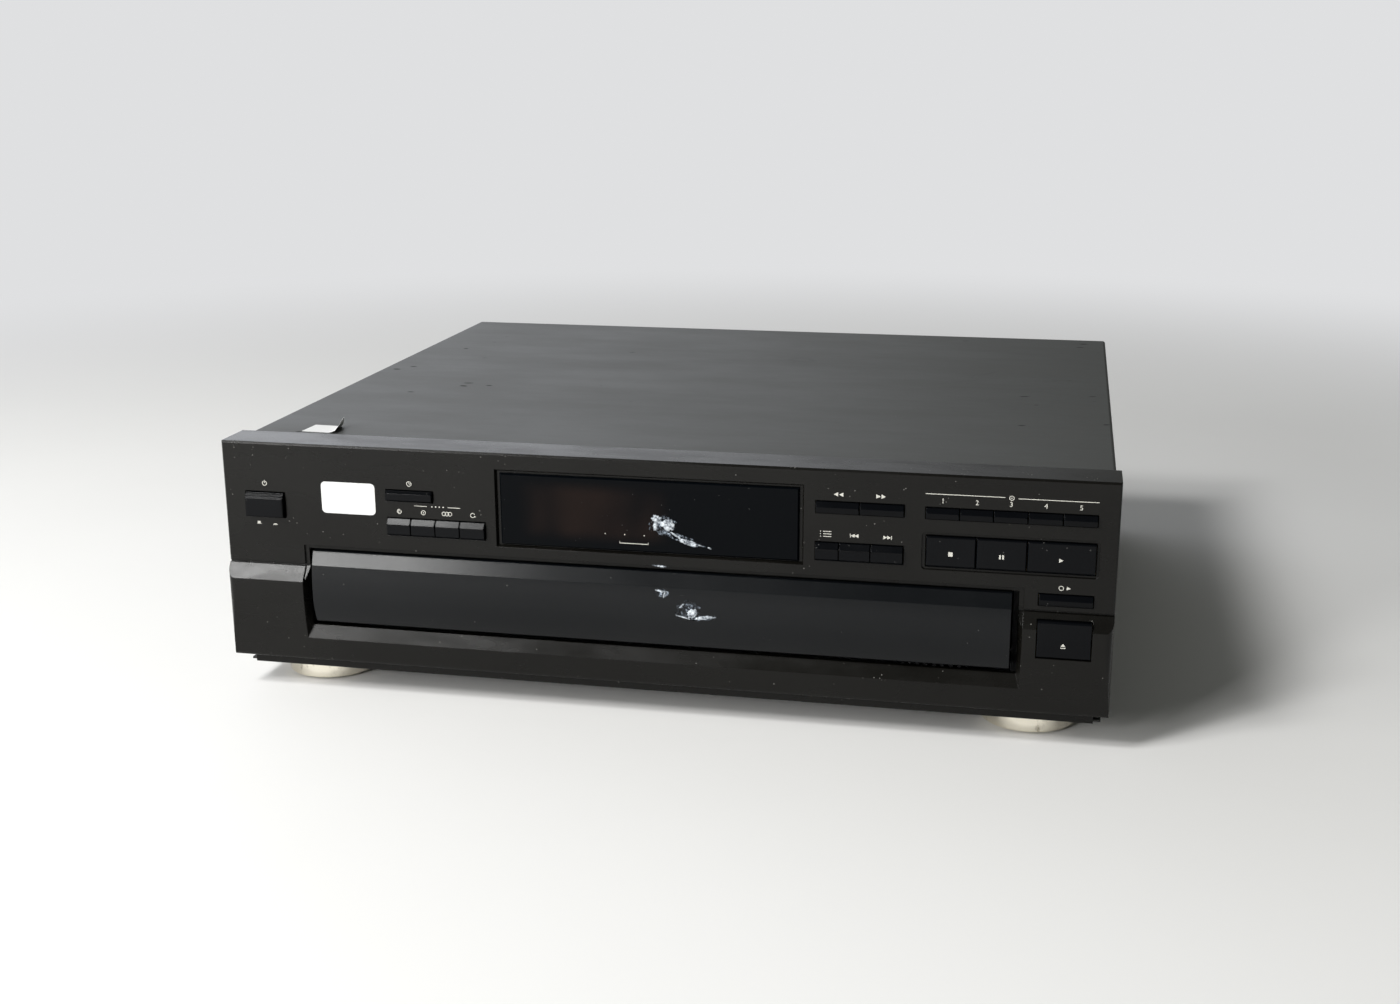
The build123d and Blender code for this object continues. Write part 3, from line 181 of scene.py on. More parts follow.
class Finish(Graph):
    """One material and the nodes that make it."""

    def __init__(self, name):
        self.material = bpy.data.materials.new(name)
        self.material.use_nodes = True
        super().__init__(self.material.node_tree)
        self.shader = self.tree.nodes.new("ShaderNodeBsdfPrincipled")
        self.output = self.tree.nodes.new("ShaderNodeOutputMaterial")
        self.tree.links.new(self.shader.outputs[0], self.output.inputs["Surface"])
        self.place = self.node("ShaderNodeTexCoord", output="Object")

    def set(self, **sockets):
        """Feed the shader's sockets; underscores in a name stand for spaces."""
        for key, value in sockets.items():
            self.feed(self.shader.inputs[key.replace("_", " ")], value)
        return self

    def stretched(self, scale, place=None):
        """Object coordinates, or a place given, scaled along each axis."""
        return self.node("ShaderNodeMapping", {"Vector": place or self.place, "Scale": scale})

    def wobble(self, scale, amount):
        """Object coordinates, bent by a noise."""
        bend = self.node("ShaderNodeTexNoise", {"Vector": self.place, "Scale": scale}, output="Color")
        bend = self.node("ShaderNodeVectorMath", {0: bend, 1: (0.5,) * 3}, operation="SUBTRACT")
        bend = self.node("ShaderNodeVectorMath", {0: bend, "Scale": amount}, operation="SCALE")
        return self.node("ShaderNodeVectorMath", {0: self.place, 1: bend}, operation="ADD")

    def noise(self, scale, detail=2.0, rough=0.5, stretch=None, offset=0.0):
        """Noise over the object; stretch scales its axes, and offset moves it to another patch."""
        place = self.stretched(stretch) if stretch else self.place
        if offset:
            place = self.node("ShaderNodeVectorMath", {0: place, 1: (offset,) * 3}, operation="ADD")
        values = {"Vector": place, "Scale": scale, "Detail": detail, "Roughness": rough}
        return self.node("ShaderNodeTexNoise", values)

    def cells(self, scale, feature="F1", stretch=None, place=None):
        """Distance to the nearest of many scattered points, or to the edge between two."""
        place = self.stretched(stretch, place) if stretch else place or self.place
        return self.node("ShaderNodeTexVoronoi", {"Vector": place, "Scale": scale}, feature=feature)

    def axis(self, name):
        """One of the object coordinates, X, Y or Z, in metres."""
        return self.node("ShaderNodeSeparateXYZ", {0: self.place}, output=name)

    def band(self, value, low, high, soft):
        """1 between low and high, falling off softly."""
        rise = self.ramp(value, low - soft, low + soft)
        return rise * self.ramp(value, high - soft, high + soft, 1.0, 0.0)

    def bump(self, height, strength, distance=0.0001, rounding=0.0):
        """Feed the normal from a height, over softly rounded edges where rounding is given."""
        values = {"Height": height, "Strength": strength, "Distance": distance}
        if rounding:
            values["Normal"] = self.node("ShaderNodeBevel", {"Radius": rounding}, samples=4)
        return self.set(Normal=self.node("ShaderNodeBump", values))


# ---------------------------------------------------------------- finishes

EDGE, FINE_EDGE = 0.0004, 0.0002     # rounding that edges show, in metres
SHARP = 0.0001                       # softness of the line between two colours, in metres
DUST = (0.42, 0.41, 0.38)


def specks_of(finish, scale, size, amount):
    """Sparse dust specks: small dots in some of the cells of a fine grid."""
    dots = finish.cells(scale)
    pick = finish.noise(scale * 0.37, 1.0, offset=3.7)
    return finish.ramp(dots, size * 0.6, size, 1.0, 0.0) * finish.ramp(pick, 0.62, 0.68, 0.0, amount)


def moulded(name, base, light, rough, grain, dust, sheen):
    """A dark moulding or paint with an even grain, faint handling marks and dust."""
    finish = Finish(name)
    cloud = finish.noise(14.0, 4.0, 0.6)
    smear = finish.noise(60.0, 3.0, 0.6, stretch=(0.35, 1.0, 1.0))
    dusty = specks_of(finish, 420.0, 0.16, dust)
    colour = finish.mix(finish.ramp(cloud, 0.35, 0.7), base, light)
    finish.set(Base_Color=finish.mix(dusty, colour, DUST), Specular_IOR_Level=sheen)
    finish.set(Roughness=finish.ramp(smear, 0.3, 0.7, rough - 0.05, rough + 0.06) + dusty * 0.3)
    finish.bump(finish.noise(3200.0, 3.0, 0.7) + dusty * 0.6, grain, 0.00006, EDGE)
    return finish.material


def panel_finish():
    """Satin black front panel."""
    return moulded("panel_moulding", (0.0034, 0.0031, 0.0025), (0.0048, 0.0045, 0.0037),
                   rough=0.25, grain=0.30, dust=0.25, sheen=0.21)


def tray_finish():
    """Dull black tray and carousel."""
    return moulded("tray_moulding", (0.018, 0.018, 0.019), (0.024, 0.024, 0.025),
                   rough=0.46, grain=0.5, dust=0.2, sheen=0.4)


def grey_moulding():
    """Dark grey mouldings of the mechanism."""
    return moulded("grey_moulding", (0.045, 0.045, 0.048), (0.058, 0.058, 0.062),
                   rough=0.5, grain=0.5, dust=0.2, sheen=0.4)


def button_finish():
    """Smooth black buttons."""
    return moulded("button_moulding", (0.0012, 0.0015, 0.0022), (0.0020, 0.0023, 0.0030),
                   rough=0.21, grain=0.15, dust=0.12, sheen=0.12)


def black_parts():
    """Black switches, hub and pickup body."""
    return moulded("black_parts", (0.012, 0.012, 0.012), (0.018, 0.018, 0.018),
                   rough=0.38, grain=0.3, dust=0.1, sheen=0.45)


def drawer_finish():
    """Smooth semi-gloss drawer front with hairline scratches."""
    finish = Finish("drawer_gloss")
    cloud = finish.noise(9.0, 4.0, 0.6)
    hair = finish.cells(30.0, stretch=(2.2, 8.0, 26.0))
    patchy = finish.ramp(finish.noise(16.0, 2.0, offset=1.3), 0.60, 0.66)
    scratch = finish.ramp(hair, 0.03, 0.09, 1.0, 0.0) * patchy
    dusty = specks_of(finish, 260.0, 0.1, 0.35)
    colour = finish.mix(finish.ramp(cloud, 0.35, 0.7), (0.0018, 0.0024, 0.0032), (0.0032, 0.0038, 0.0046))
    colour = finish.mix(scratch * 0.25 + dusty, colour, (0.20, 0.20, 0.19))
    finish.set(Base_Color=colour, Specular_IOR_Level=0.25)
    finish.set(Roughness=finish.ramp(cloud, 0.3, 0.7, 0.20, 0.27) + scratch * 0.2 + dusty * 0.3)
    finish.bump(finish.noise(2600.0, 2.0) + scratch * -0.5, 0.10, 0.00005, EDGE)
    return finish.material


def cover_finish():
    """Satin charcoal paint with dark nicks and scuffs towards the sides and a dusty film."""
    finish = Finish("cover_paint")
    cloud = finish.noise(5.0, 5.0, 0.62)
    film = finish.noise(22.0, 5.0, 0.7, stretch=(0.5, 1.6, 1.0), offset=5.0)
    bent = finish.wobble(45.0, 0.012)
    nick = finish.ramp(finish.cells(52.0, place=bent, stretch=(0.8, 1.4, 1.0)), 0.05, 0.13, 1.0, 0.0)
    towards_side = finish.ramp(finish.axis("X").math("ABSOLUTE"), 0.09, 0.205, 0.0, 0.16)
    nick = nick * finish.ramp(finish.noise(31.0, 2.0, offset=2.1) + towards_side, 0.60, 0.66)
    hair = finish.cells(17.0, "DISTANCE_TO_EDGE", place=bent, stretch=(0.6, 1.7, 1.0))
    rubbed = finish.ramp(finish.noise(9.0, 2.0, offset=8.0), 0.56, 0.64)
    rub = finish.ramp(hair, 0.003, 0.010, 1.0, 0.0) * rubbed
    dusty = specks_of(finish, 300.0, 0.10, 0.4)
    colour = finish.mix(finish.ramp(cloud, 0.3, 0.7), (0.034, 0.036, 0.034), (0.039, 0.041, 0.039))
    colour = finish.mix(finish.ramp(film, 0.45, 0.75, 0.0, 0.30), colour, (0.052, 0.052, 0.048))
    colour = finish.mix(rub * 0.45, colour, (0.012, 0.012, 0.012))
    colour = finish.mix(nick, colour, (0.004, 0.004, 0.004))
    colour = finish.mix(dusty, colour, (0.45, 0.44, 0.42))
    finish.set(Base_Color=colour, Specular_IOR_Level=0.5)
    finish.set(Roughness=finish.ramp(film, 0.3, 0.75, 0.45, 0.52) + nick * 0.3)
    finish.bump(finish.noise(2400.0, 3.0, 0.7) - nick, 0.35, 0.00007, EDGE)
    return finish.material


def rear_finish():
    """Satin charcoal paint of the rear panel."""
    return moulded("rear_paint", (0.030, 0.030, 0.030), (0.040, 0.040, 0.040),
                   rough=0.5, grain=0.6, dust=0.3, sheen=0.45)


def chassis_finish():
    """Dull black on the bottom chassis in place of its plated steel: painted shade under the plinth."""
    return moulded("chassis_shade_black", (0.012, 0.012, 0.012), (0.018, 0.018, 0.017),
                   rough=0.5, grain=0.5, dust=0.2, sheen=0.35)


GLOW_X, GLOW_Z = (-0.058, 0.004), (0.088, 0.112)     # metres: where the display shows through


def window_finish():
    """Smoked and polished window; a faint warm patch shows where the display lies behind it."""
    finish = Finish("smoked_window")
    x, z = finish.axis("X"), finish.axis("Z")
    patch = finish.band(x, *GLOW_X, 0.008) * finish.band(z, *GLOW_Z, 0.004)
    cloud = finish.ramp(finish.noise(24.0, 2.0, 0.5, stretch=(1.0, 1.0, 0.5)), 0.3, 0.7)
    wipe = finish.ramp(finish.noise(26.0, 4.0, 0.65, stretch=(0.5, 1.0, 1.4), offset=4.0), 0.5, 0.8)
    colour = finish.mix(patch * cloud * 0.8, (0.0012, 0.0017, 0.0024), (0.017, 0.010, 0.0078))
    dusty = specks_of(finish, 520.0, 0.10, 0.3)
    colour = finish.mix(dusty, colour, (0.35, 0.35, 0.34))
    finish.set(Base_Color=colour, Roughness=wipe * 0.10 + dusty * 0.3 + 0.045, Specular_IOR_Level=0.06)
    finish.bump(wipe * 0.2 + dusty, 0.05, 0.00005, FINE_EDGE)
    return finish.material


def metal(name, colour, dark, rough, scale, stretch, depth=0.2, spread=0.08):
    """A metal with a directional or spangled finish and slight tarnish."""
    finish = Finish(name)
    brushed = finish.noise(scale, 4.0, 0.6, stretch=stretch)
    stain = finish.ramp(finish.noise(90.0, 4.0, 0.65, offset=2.0), 0.5, 0.75)
    finish.set(Base_Color=finish.mix(stain * 0.5, colour, dark), Metallic=1.0)
    finish.set(Roughness=finish.ramp(brushed, 0.25, 0.75, rough - spread, rough + spread) + stain * 0.08)
    finish.bump(brushed, depth, 0.00004, FINE_EDGE)
    return finish.material


def foot_finish():
    """Turned champagne metal: rings round the foot, and tarnish in patches and streaks."""
    finish = Finish("foot_metal")
    rings = finish.noise(500.0, 4.0, 0.6, stretch=(0.06, 0.06, 5.0))
    patch = finish.ramp(finish.noise(130.0, 5.0, 0.7, stretch=(1.0, 1.0, 0.5), offset=2.0), 0.52, 0.66)
    colour = finish.mix(patch * 0.75, (0.98, 0.93, 0.80), (0.30, 0.26, 0.18))
    finish.set(Base_Color=colour, Metallic=1.0)
    finish.set(Roughness=finish.ramp(rings, 0.25, 0.75, 0.08, 0.16) + patch * 0.2)
    finish.bump(rings, 0.2, 0.00004, FINE_EDGE)
    return finish.material


def plated_steel():
    """Plated sheet steel, slightly cloudy."""
    return metal("plated_steel", (0.58, 0.59, 0.57), (0.42, 0.42, 0.38), 0.34, 160.0, (1.0, 1.0, 1.0))


def polished_steel():
    """Ground and polished rods and shafts."""
    return metal("polished_steel", (0.75, 0.75, 0.75), (0.55, 0.55, 0.53), 0.14, 900.0, (1.0, 0.05, 1.0),
                 depth=0.08, spread=0.03)


def motor_can():
    """Drawn and brushed motor cans."""
    return metal("motor_can", (0.62, 0.62, 0.60), (0.45, 0.44, 0.41), 0.28, 700.0, (0.2, 0.2, 2.0),
                 depth=0.15)


def screw_finish():
    """Blackened screws."""
    return metal("screw_black", (0.05, 0.05, 0.052), (0.10, 0.095, 0.09), 0.36, 1200.0, (1.0, 1.0, 1.0))


def pad_finish():
    """Dark felt pads: short fibres in all directions."""
    finish = Finish("pad_felt")
    fibres = finish.noise(2600.0, 5.0, 0.8)
    finish.set(Base_Color=finish.mix(fibres, (0.012, 0.012, 0.012), (0.05, 0.047, 0.042)), Roughness=0.95)
    finish.bump(fibres, 0.9, 0.0003)
    return finish.material


def rubber_finish():
    """Moulded rubber with a powdery bloom."""
    finish = Finish("belt_rubber")
    bloom = finish.noise(300.0, 4.0, 0.7)
    finish.set(Base_Color=finish.mix(bloom, (0.012, 0.012, 0.012), (0.035, 0.034, 0.033)), Roughness=0.72)
    finish.bump(bloom, 0.3, 0.0001)
    return finish.material


def gear_finish():
    """Natural acetal, slightly milky, with a trace of grease."""
    finish = Finish("gear_plastic")
    grease = finish.ramp(finish.noise(120.0, 3.0, 0.6), 0.55, 0.75)
    finish.set(Base_Color=finish.mix(grease * 0.6, (0.74, 0.72, 0.66), (0.60, 0.55, 0.42)))
    finish.set(Roughness=0.42 - grease * 0.15)
    finish.bump(finish.noise(900.0, 2.0), 0.1, 0.00005, FINE_EDGE)
    return finish.material


def board_finish():
    """Phenolic board: warm brown and finely flecked."""
    finish = Finish("circuit_board")
    fleck = finish.noise(700.0, 4.0, 0.7)
    finish.set(Base_Color=finish.mix(fleck, (0.20, 0.135, 0.05), (0.30, 0.21, 0.085)))
    finish.set(Roughness=finish.ramp(fleck, 0.3, 0.7, 0.42, 0.55))
    finish.bump(fleck, 0.15, 0.0001)
    return finish.material


GRID_RATE = 420.0                    # radians per metre: a line every 15 mm
LAYER_RATE = 9000.0                  # radians per metre: a lamination every 0.7 mm
TAPE_Y, TAPE_Z = (350, 366), (0.0251, 0.0429)    # millimetres from the upper face, and metres


def display_finish():
    """Display tube: dark glass with a faint grey-green grid."""
    finish = Finish("display_glass")
    lines = finish.ramp(finish.axis("X").math("MULTIPLY", GRID_RATE).math("SINE"), 0.7, 0.95)
    finish.set(Base_Color=finish.mix(lines, (0.012, 0.014, 0.014), (0.035, 0.042, 0.040)), Roughness=0.12)
    finish.bump(lines, 0.05, 0.00005)
    return finish.material


def core_finish():
    """Varnished laminations, with yellow tape round the winding between the core's legs."""
    finish = Finish("transformer_core")
    layers = finish.ramp(finish.axis("Y").math("MULTIPLY", LAYER_RATE).math("SINE"), -0.2, 0.6)
    legs = [(y + FACE_Y) * MM for y in TAPE_Y]
    between_legs = 1.0 - finish.band(finish.axis("Y"), *legs, SHARP)
    tape = finish.band(finish.axis("Z"), *TAPE_Z, SHARP) * between_legs
    steel = finish.mix(layers, (0.055, 0.045, 0.04), (0.11, 0.095, 0.085))
    finish.set(Base_Color=finish.mix(tape, steel, (0.62, 0.45, 0.06)), Roughness=0.45)
    finish.bump(layers, 0.3, 0.0001)
    return finish.material


COLLAR_T = 0.0013                    # metres: how far a jack's coloured collar stands out
PIN_FROM, PIN_TO, PIN_HALF = 0.0029, 0.0057, 0.0014      # an inlet pin, from the inlet's middle
PIN_BLACK_TO, PIN_PLATED_FROM = 0.0035, 0.0055           # depths in the inlet's well


def jack_finish():
    """Black block; outside the rear sheet the sleeves are plated and their collars are coloured."""
    finish = Finish("jack_parts")
    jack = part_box("output_jacks")
    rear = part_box("rear_panel")[1].y
    middle = (jack[0].x + jack[1].x) / 2
    sleeve = finish.ramp(finish.axis("Y"), rear + COLLAR_T, rear + COLLAR_T + SHARP)
    collar = finish.ramp(finish.axis("Y"), rear, rear + SHARP) * (1.0 - sleeve)
    side = finish.ramp(finish.axis("X"), middle - SHARP, middle + SHARP)
    colour = finish.mix(side, (0.72, 0.70, 0.66), (0.50, 0.02, 0.015))
    colour = finish.mix(collar, (0.014, 0.014, 0.014), colour)
    fine = finish.noise(1500.0, 3.0)
    finish.set(Base_Color=finish.mix(sleeve, colour, (0.70, 0.66, 0.55)), Metallic=sleeve)
    finish.set(Roughness=finish.ramp(fine, 0.3, 0.7, 0.24, 0.36))
    finish.bump(fine, 0.1, 0.00005)
    return finish.material


def inlet_finish():
    """Black inlet with two plated pins in its well."""
    finish = Finish("inlet_parts")
    low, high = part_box("ac_inlet")
    middle_x, middle_z = (low.x + high.x) / 2, (low.z + high.z) / 2
    across = (finish.axis("X") - middle_x).math("ABSOLUTE")
    pin = finish.band(across, PIN_FROM, PIN_TO, SHARP)
    pin = pin * finish.band(finish.axis("Z"), middle_z - PIN_HALF, middle_z + PIN_HALF, SHARP)
    pin = pin * finish.ramp(finish.axis("Y"), high.y - PIN_PLATED_FROM, high.y - PIN_BLACK_TO, 1.0, 0.0)
    fine = finish.noise(1500.0, 3.0)
    finish.set(Base_Color=finish.mix(pin, (0.014, 0.014, 0.014), (0.72, 0.71, 0.68)), Metallic=pin)
    finish.set(Roughness=finish.ramp(fine, 0.3, 0.7, 0.30, 0.42))
    finish.bump(fine, 0.12, 0.00005)
    return finish.material


def lens_finish():
    """Coated lens: bluish and very smooth."""
    finish = Finish("pickup_lens")
    tint = finish.noise(400.0, 2.0)
    finish.set(Base_Color=finish.mix(tint, (0.02, 0.03, 0.09), (0.05, 0.04, 0.14)), Roughness=0.06)
    finish.bump(tint, 0.02, 0.00002)
    return finish.material


def print_finish():
    """Pale grey screen print, a little uneven."""
    finish = Finish("screen_print")
    worn = finish.noise(1500.0, 4.0, 0.7)
    finish.set(Base_Color=finish.mix(finish.ramp(worn, 0.3, 0.75), (0.62, 0.61, 0.55), (0.46, 0.45, 0.41)))
    finish.set(Roughness=0.55)
    finish.bump(worn, 0.2, 0.00003)
    return finish.material


def label_finish():
    """White paper, faintly mottled."""
    finish = Finish("label_paper")
    fibre = finish.noise(900.0, 5.0, 0.75)
    finish.set(Base_Color=finish.mix(fibre, (0.70, 0.70, 0.70), (0.63, 0.63, 0.62)), Roughness=0.6)
    finish.bump(fibre, 0.3, 0.00005)
    return finish.material


def glue_finish(name, solid, thin, low, high, least):
    """Dried glue: milky ridges over a clear film; the alpha rises along the ridges."""
    finish = Finish(name)
    ridges = finish.noise(420.0, 6.0, 0.8)
    finish.set(Base_Color=finish.mix(finish.ramp(ridges, low, high), thin, solid))
    finish.set(Roughness=0.36, Alpha=finish.ramp(ridges, low, high, least, 1.0))
    finish.bump(ridges, 0.7, 0.0003)
    return finish.material


def glue_core():
    """The thick white curds."""
    return glue_finish("dried_glue", (0.66, 0.70, 0.74), (0.20, 0.24, 0.29), 0.38, 0.60, 0.25)


def glue_film():
    """The thin film round them."""
    return glue_finish("glue_film", (0.34, 0.39, 0.46), (0.10, 0.13, 0.17), 0.47, 0.66, 0.0)


FINISHES = {
    "panel_plastic": panel_finish, "cover_paint": cover_finish, "plated_steel": plated_steel,
    "rear_paint": rear_finish, "foot_metal": foot_finish, "pad_felt": pad_finish,
    "smoked_window": window_finish, "display_glass": display_finish, "circuit_board": board_finish,
    "switch_black": black_parts, "core_steel": core_finish, "screw_black": screw_finish,
    "grey_moulding": grey_moulding, "motor_can": motor_can, "belt_rubber": rubber_finish,
    "polished_steel": polished_steel, "gear_plastic": gear_finish, "lens_glass": lens_finish,
    "tray_plastic": tray_finish, "drawer_gloss": drawer_finish, "button_plastic": button_finish,
}


def paint_nodes():
    """Give every CAD node the finish of its slot; a few have their own."""
    made = {slot: make() for slot, make in FINISHES.items()}
    # The bottom chassis is dull black in place of its plated steel: painted shade under the plinth.
    own = {"output_jacks": jack_finish(), "ac_inlet": inlet_finish(), "bottom_chassis": chassis_finish(),
           # The drive gear gets the dark grey moulding in place of its pale gear plastic: painted shade in
           # the gap under the drawer front.
           "drive_gear": made["grey_moulding"]}
    for entry in frame["record"]["subparts"]:
        node = frame["nodes"][entry["node"]]
        material = own.get(entry["node"]) or made[entry["material_slot"]]
        node.data.materials.clear()
        node.data.materials.append(material)


# ---------------------------------------------------------------- pieces and their meshes


def new_piece(name, mesh, material, body):
    """A mesh in the row frame that rides on a body, with the material given."""
    piece = bpy.data.objects.new(name, mesh)
    bpy.context.scene.collection.objects.link(piece)
    mesh.materials.clear()
    mesh.materials.append(material)
    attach(piece, body)
    return piece


def mesh_from(bm, name, closed=True):
    """Keep a bmesh as a mesh; the faces of a closed one are turned outward."""
    if closed:
        bmesh.ops.recalc_face_normals(bm, faces=bm.faces)
    mesh = bpy.data.meshes.new(name)
    bm.to_mesh(mesh)
    bm.free()
    return mesh


PRINT_T = 0.05                       # thickness of printed marks, in millimetres


def plates(name, outlines, y, thickness=PRINT_T):
    """One mesh of flat plates with (x, z) outlines, standing on the plane y and proud of it."""
    bm = bmesh.new()
    for outline in outlines:
        back = [bm.verts.new(at(x, y, z)) for x, z in outline]
        front = [bm.verts.new(at(x, y - thickness, z)) for x, z in outline]
        bm.faces.new(front)
        bm.faces.new(back[::-1])
        for k in range(len(outline)):
            n = (k + 1) % len(outline)
            bm.faces.new((front[k], back[k], back[n], front[n]))
    return mesh_from(bm, name)


# ---------------------------------------------------------------- outlines of printed marks

RULE = 0.30                          # width of printed rules and rings
STROKE = 0.26                        # width of upright strokes
RING_STEPS = 20


def bar(x0, x1, z0, z1):
    """A rectangle between two corners."""
    return [(x0, z0), (x1, z0), (x1, z1), (x0, z1)]


def centred(x, z, width, height):
    """A rectangle round its middle."""
    return bar(x - width / 2, x + width / 2, z - height / 2, z + height / 2)


def ruled(x0, x1, z):
    """A printed rule along x."""
    return bar(x0, x1, z - RULE / 2, z + RULE / 2)


def stroke(x, z0, z1):
    """A printed upright stroke."""
    return bar(x - STROKE / 2, x + STROKE / 2, z0, z1)


def arrow(x, z, size, way):
    """A filled triangle that points left or right."""
    half = size / 2
    return [(x - way * half, z - half), (x + way * half, z), (x - way * half, z + half)]


def dot(x, z, r, sides=10):
    """A small filled disc."""
    turns = [2 * math.pi * k / sides for k in range(sides)]
    return [(x + r * math.cos(a), z + r * math.sin(a)) for a in turns]


def ring(x, z, r, start=0.0, end=360.0):
    """Quads that make a printed ring, or the part of one between two angles in degrees."""
    quads = []
    for k in range(RING_STEPS):
        a, b = (math.radians(start + (end - start) * i / RING_STEPS) for i in (k, k + 1))
        inner = [(x + (r - RULE) * math.cos(t), z + (r - RULE) * math.sin(t)) for t in (a, b)]
        outer = [(x + r * math.cos(t), z + r * math.sin(t)) for t in (b, a)]
        quads.append([*inner, *outer])
    return quads


def disc_symbol(x, z, r):
    """A ring with a dot in its middle."""
    return [*ring(x, z, r), dot(x, z, 0.3)]


def skip_symbol(x, z, size, way):
    """Two arrows against a bar."""
    return [arrow(x - way * size * 0.5, z, size, way), arrow(x + way * size * 0.45, z, size, way),
            centred(x + way * size * 1.065, z, size * 0.17, size)]


# ---------------------------------------------------------------- marks on the front
# Places are x from the middle and z from the floor, in millimetres.

SEARCH_X, SEARCH_Z = (89.6, 109.0), 115.2
SEARCH_SIZE, SEARCH_HALF = 2.0, 1.2  # an arrow, and its place beside the middle of its pair
SKIP_X, SKIP_Z, SKIP_SIZE = (97.3, 112.3), 96.0, 1.8
LIST_DOT_X, LIST_RULE_X = 81.6, (82.8, 86.6)
LIST_Z, LIST_PITCH = 95.0, 1.2

DISC_RULES = ((129.0, 164.4, 117.7), (170.2, 205.5, 117.4))
DISC_IN_GAP, DISC_SKIP, DISC_R = (167.3, 117.5), (190.9, 76.8), 1.15
DISC_SKIP_ARROW, DISC_SKIP_GAP = 1.7, 3.3
DISC_NUMBER_X, NUMBER_Z = (136.9, 152.1, 167.2, 182.5, 197.8), 114.5
NUMBER_HEIGHT, FONT_PER_HEIGHT = 2.3, 1.4

STANDBY, STANDBY_R = (-193.5, 106.2), 1.25
SWITCH_MARKS = ((-197.8, 85.5, 1.2), (-189.2, 85.3, 0.6))    # x, z and height: out, then in

CLOCK, CLOCK_R = (-118.2, 109.6), 1.3
SPIRAL_X, SINGLE_X, ALL_X, REPEAT_X = -123.8, -111.5, -101.0, -86.5
MODE_Z, MODE_R = 95.6, 1.2
MODE_RULES, MODE_RULE_Z = ((-116.0, -109.6), (-99.0, -92.6)), 98.8
MODE_DOTS_X, MODE_DOT_PITCH = -107.0, 1.9

WINDOW_DOT_X, WINDOW_DOT_PITCH, WINDOW_DOT_Z = -21.0, 9.5, 90.2
BRACKET_X, BRACKET_Z, BRACKET_LEG = (-14.0, 0.0), 86.0, (0.2, 0.9)

SYMBOL, TRANSPORT_Z = 2.0, 90.0      # symbols on the transport buttons
STOP_X, PAUSE_X, PLAY_X = 141.1, 163.9, 190.3
PAUSE_BAR, PAUSE_HALF = 0.8, 0.7
EJECT_X, EJECT_Z = 193.0, 50.8       # foot of the arrow on the open/close button
EJECT_WIDTH, EJECT_HEIGHT, EJECT_SINK = 2.2, 1.4, 0.02


def search_and_skip_marks():
    """Arrows over the search buttons, and the list and skip symbols over the row below."""
    marks = []
    for search_x, skip_x, way in zip(SEARCH_X, SKIP_X, (-1, 1)):
        for x in (search_x - SEARCH_HALF, search_x + SEARCH_HALF):
            marks.append(arrow(x, SEARCH_Z, SEARCH_SIZE, way))
        marks += skip_symbol(skip_x, SKIP_Z, SKIP_SIZE, way)
    for k in range(3):
        z = LIST_Z + LIST_PITCH * k
        marks += [ruled(*LIST_RULE_X, z), dot(LIST_DOT_X, z, 0.24, 8)]
    return marks


def disc_row_marks():
    """The broken rule over the five disc buttons, with a disc in its gap, and the disc-skip symbol."""
    skip_x, skip_z = DISC_SKIP
    marks = [ruled(*rule) for rule in DISC_RULES]
    marks += disc_symbol(*DISC_IN_GAP, DISC_R)
    marks += ring(skip_x, skip_z, DISC_R)
    marks.append(arrow(skip_x + DISC_SKIP_GAP, skip_z, DISC_SKIP_ARROW, 1))
    return marks


def power_marks():
    """A standby symbol over the power button, and its out and in positions under it."""
    standby_x, standby_z = STANDBY
    marks = ring(standby_x, standby_z, STANDBY_R, 115, 425)
    marks.append(stroke(standby_x, standby_z + 0.1, standby_z + 1.6))
    for x, z, height in SWITCH_MARKS:
        marks += [ruled(x - 1.2, x + 1.2, z), bar(x - 0.8, x + 0.8, z, z + height)]
    return marks


def mode_marks():
    """A clock over the time button; spiral, single disc, all discs and repeat over the mode buttons."""
    clock_x, clock_z = CLOCK
    marks = ring(clock_x, clock_z, CLOCK_R)
    marks += [stroke(clock_x, clock_z, clock_z + 1.0), ruled(clock_x, clock_x + 0.8, clock_z)]
    marks += [ruled(*ends, MODE_RULE_Z) for ends in MODE_RULES]
    marks += [dot(MODE_DOTS_X + MODE_DOT_PITCH * k, MODE_RULE_Z, 0.34) for k in range(4)]
    marks += ring(SPIRAL_X, MODE_Z, MODE_R, 60, 400)
    marks += ring(SPIRAL_X, MODE_Z, 0.65, 0, 270)
    marks += disc_symbol(SINGLE_X, MODE_Z, MODE_R)
    for k in range(3):
        marks += ring(ALL_X + 1.5 * k, MODE_Z, 1.1)
    marks += ring(REPEAT_X, MODE_Z, MODE_R, 20, 330)
    marks.append(arrow(REPEAT_X + 1.2, MODE_Z - 0.6, 1.0, 1))
    return marks


def number_mesh(name, text, x):
    """A printed number, upright on the upper front face."""
    curve = bpy.data.curves.new(name, "FONT")
    curve.body, curve.size = text, NUMBER_HEIGHT * FONT_PER_HEIGHT * MM
    curve.align_x, curve.align_y = "CENTER", "CENTER"
    curve.extrude = PRINT_T * MM / 2
    curve.resolution_u = 3
    holder = bpy.data.objects.new(name, curve)
    bpy.context.scene.collection.objects.link(holder)
    bpy.context.view_layer.update()
    mesh = bpy.data.meshes.new_from_object(holder)
    bpy.data.objects.remove(holder)
    turn = Matrix.Rotation(math.radians(90), 4, "X")
    mesh.transform(Matrix.Translation(at(x, -PRINT_T / 2, NUMBER_Z)) @ turn)
    return mesh


def make_panel_marks(ink):
    """Symbols, rules and disc numbers on the upper front face."""
    outlines = [*search_and_skip_marks(), *disc_row_marks(), *power_marks(), *mode_marks()]
    new_piece("panel_marks", plates("panel_marks", outlines, 0.0), ink, "case")
    for k, x in enumerate(DISC_NUMBER_X, start=1):
        mesh = number_mesh(f"disc_number_{k}", str(k), x)
        new_piece(f"disc_number_{k}", mesh, ink, "case")


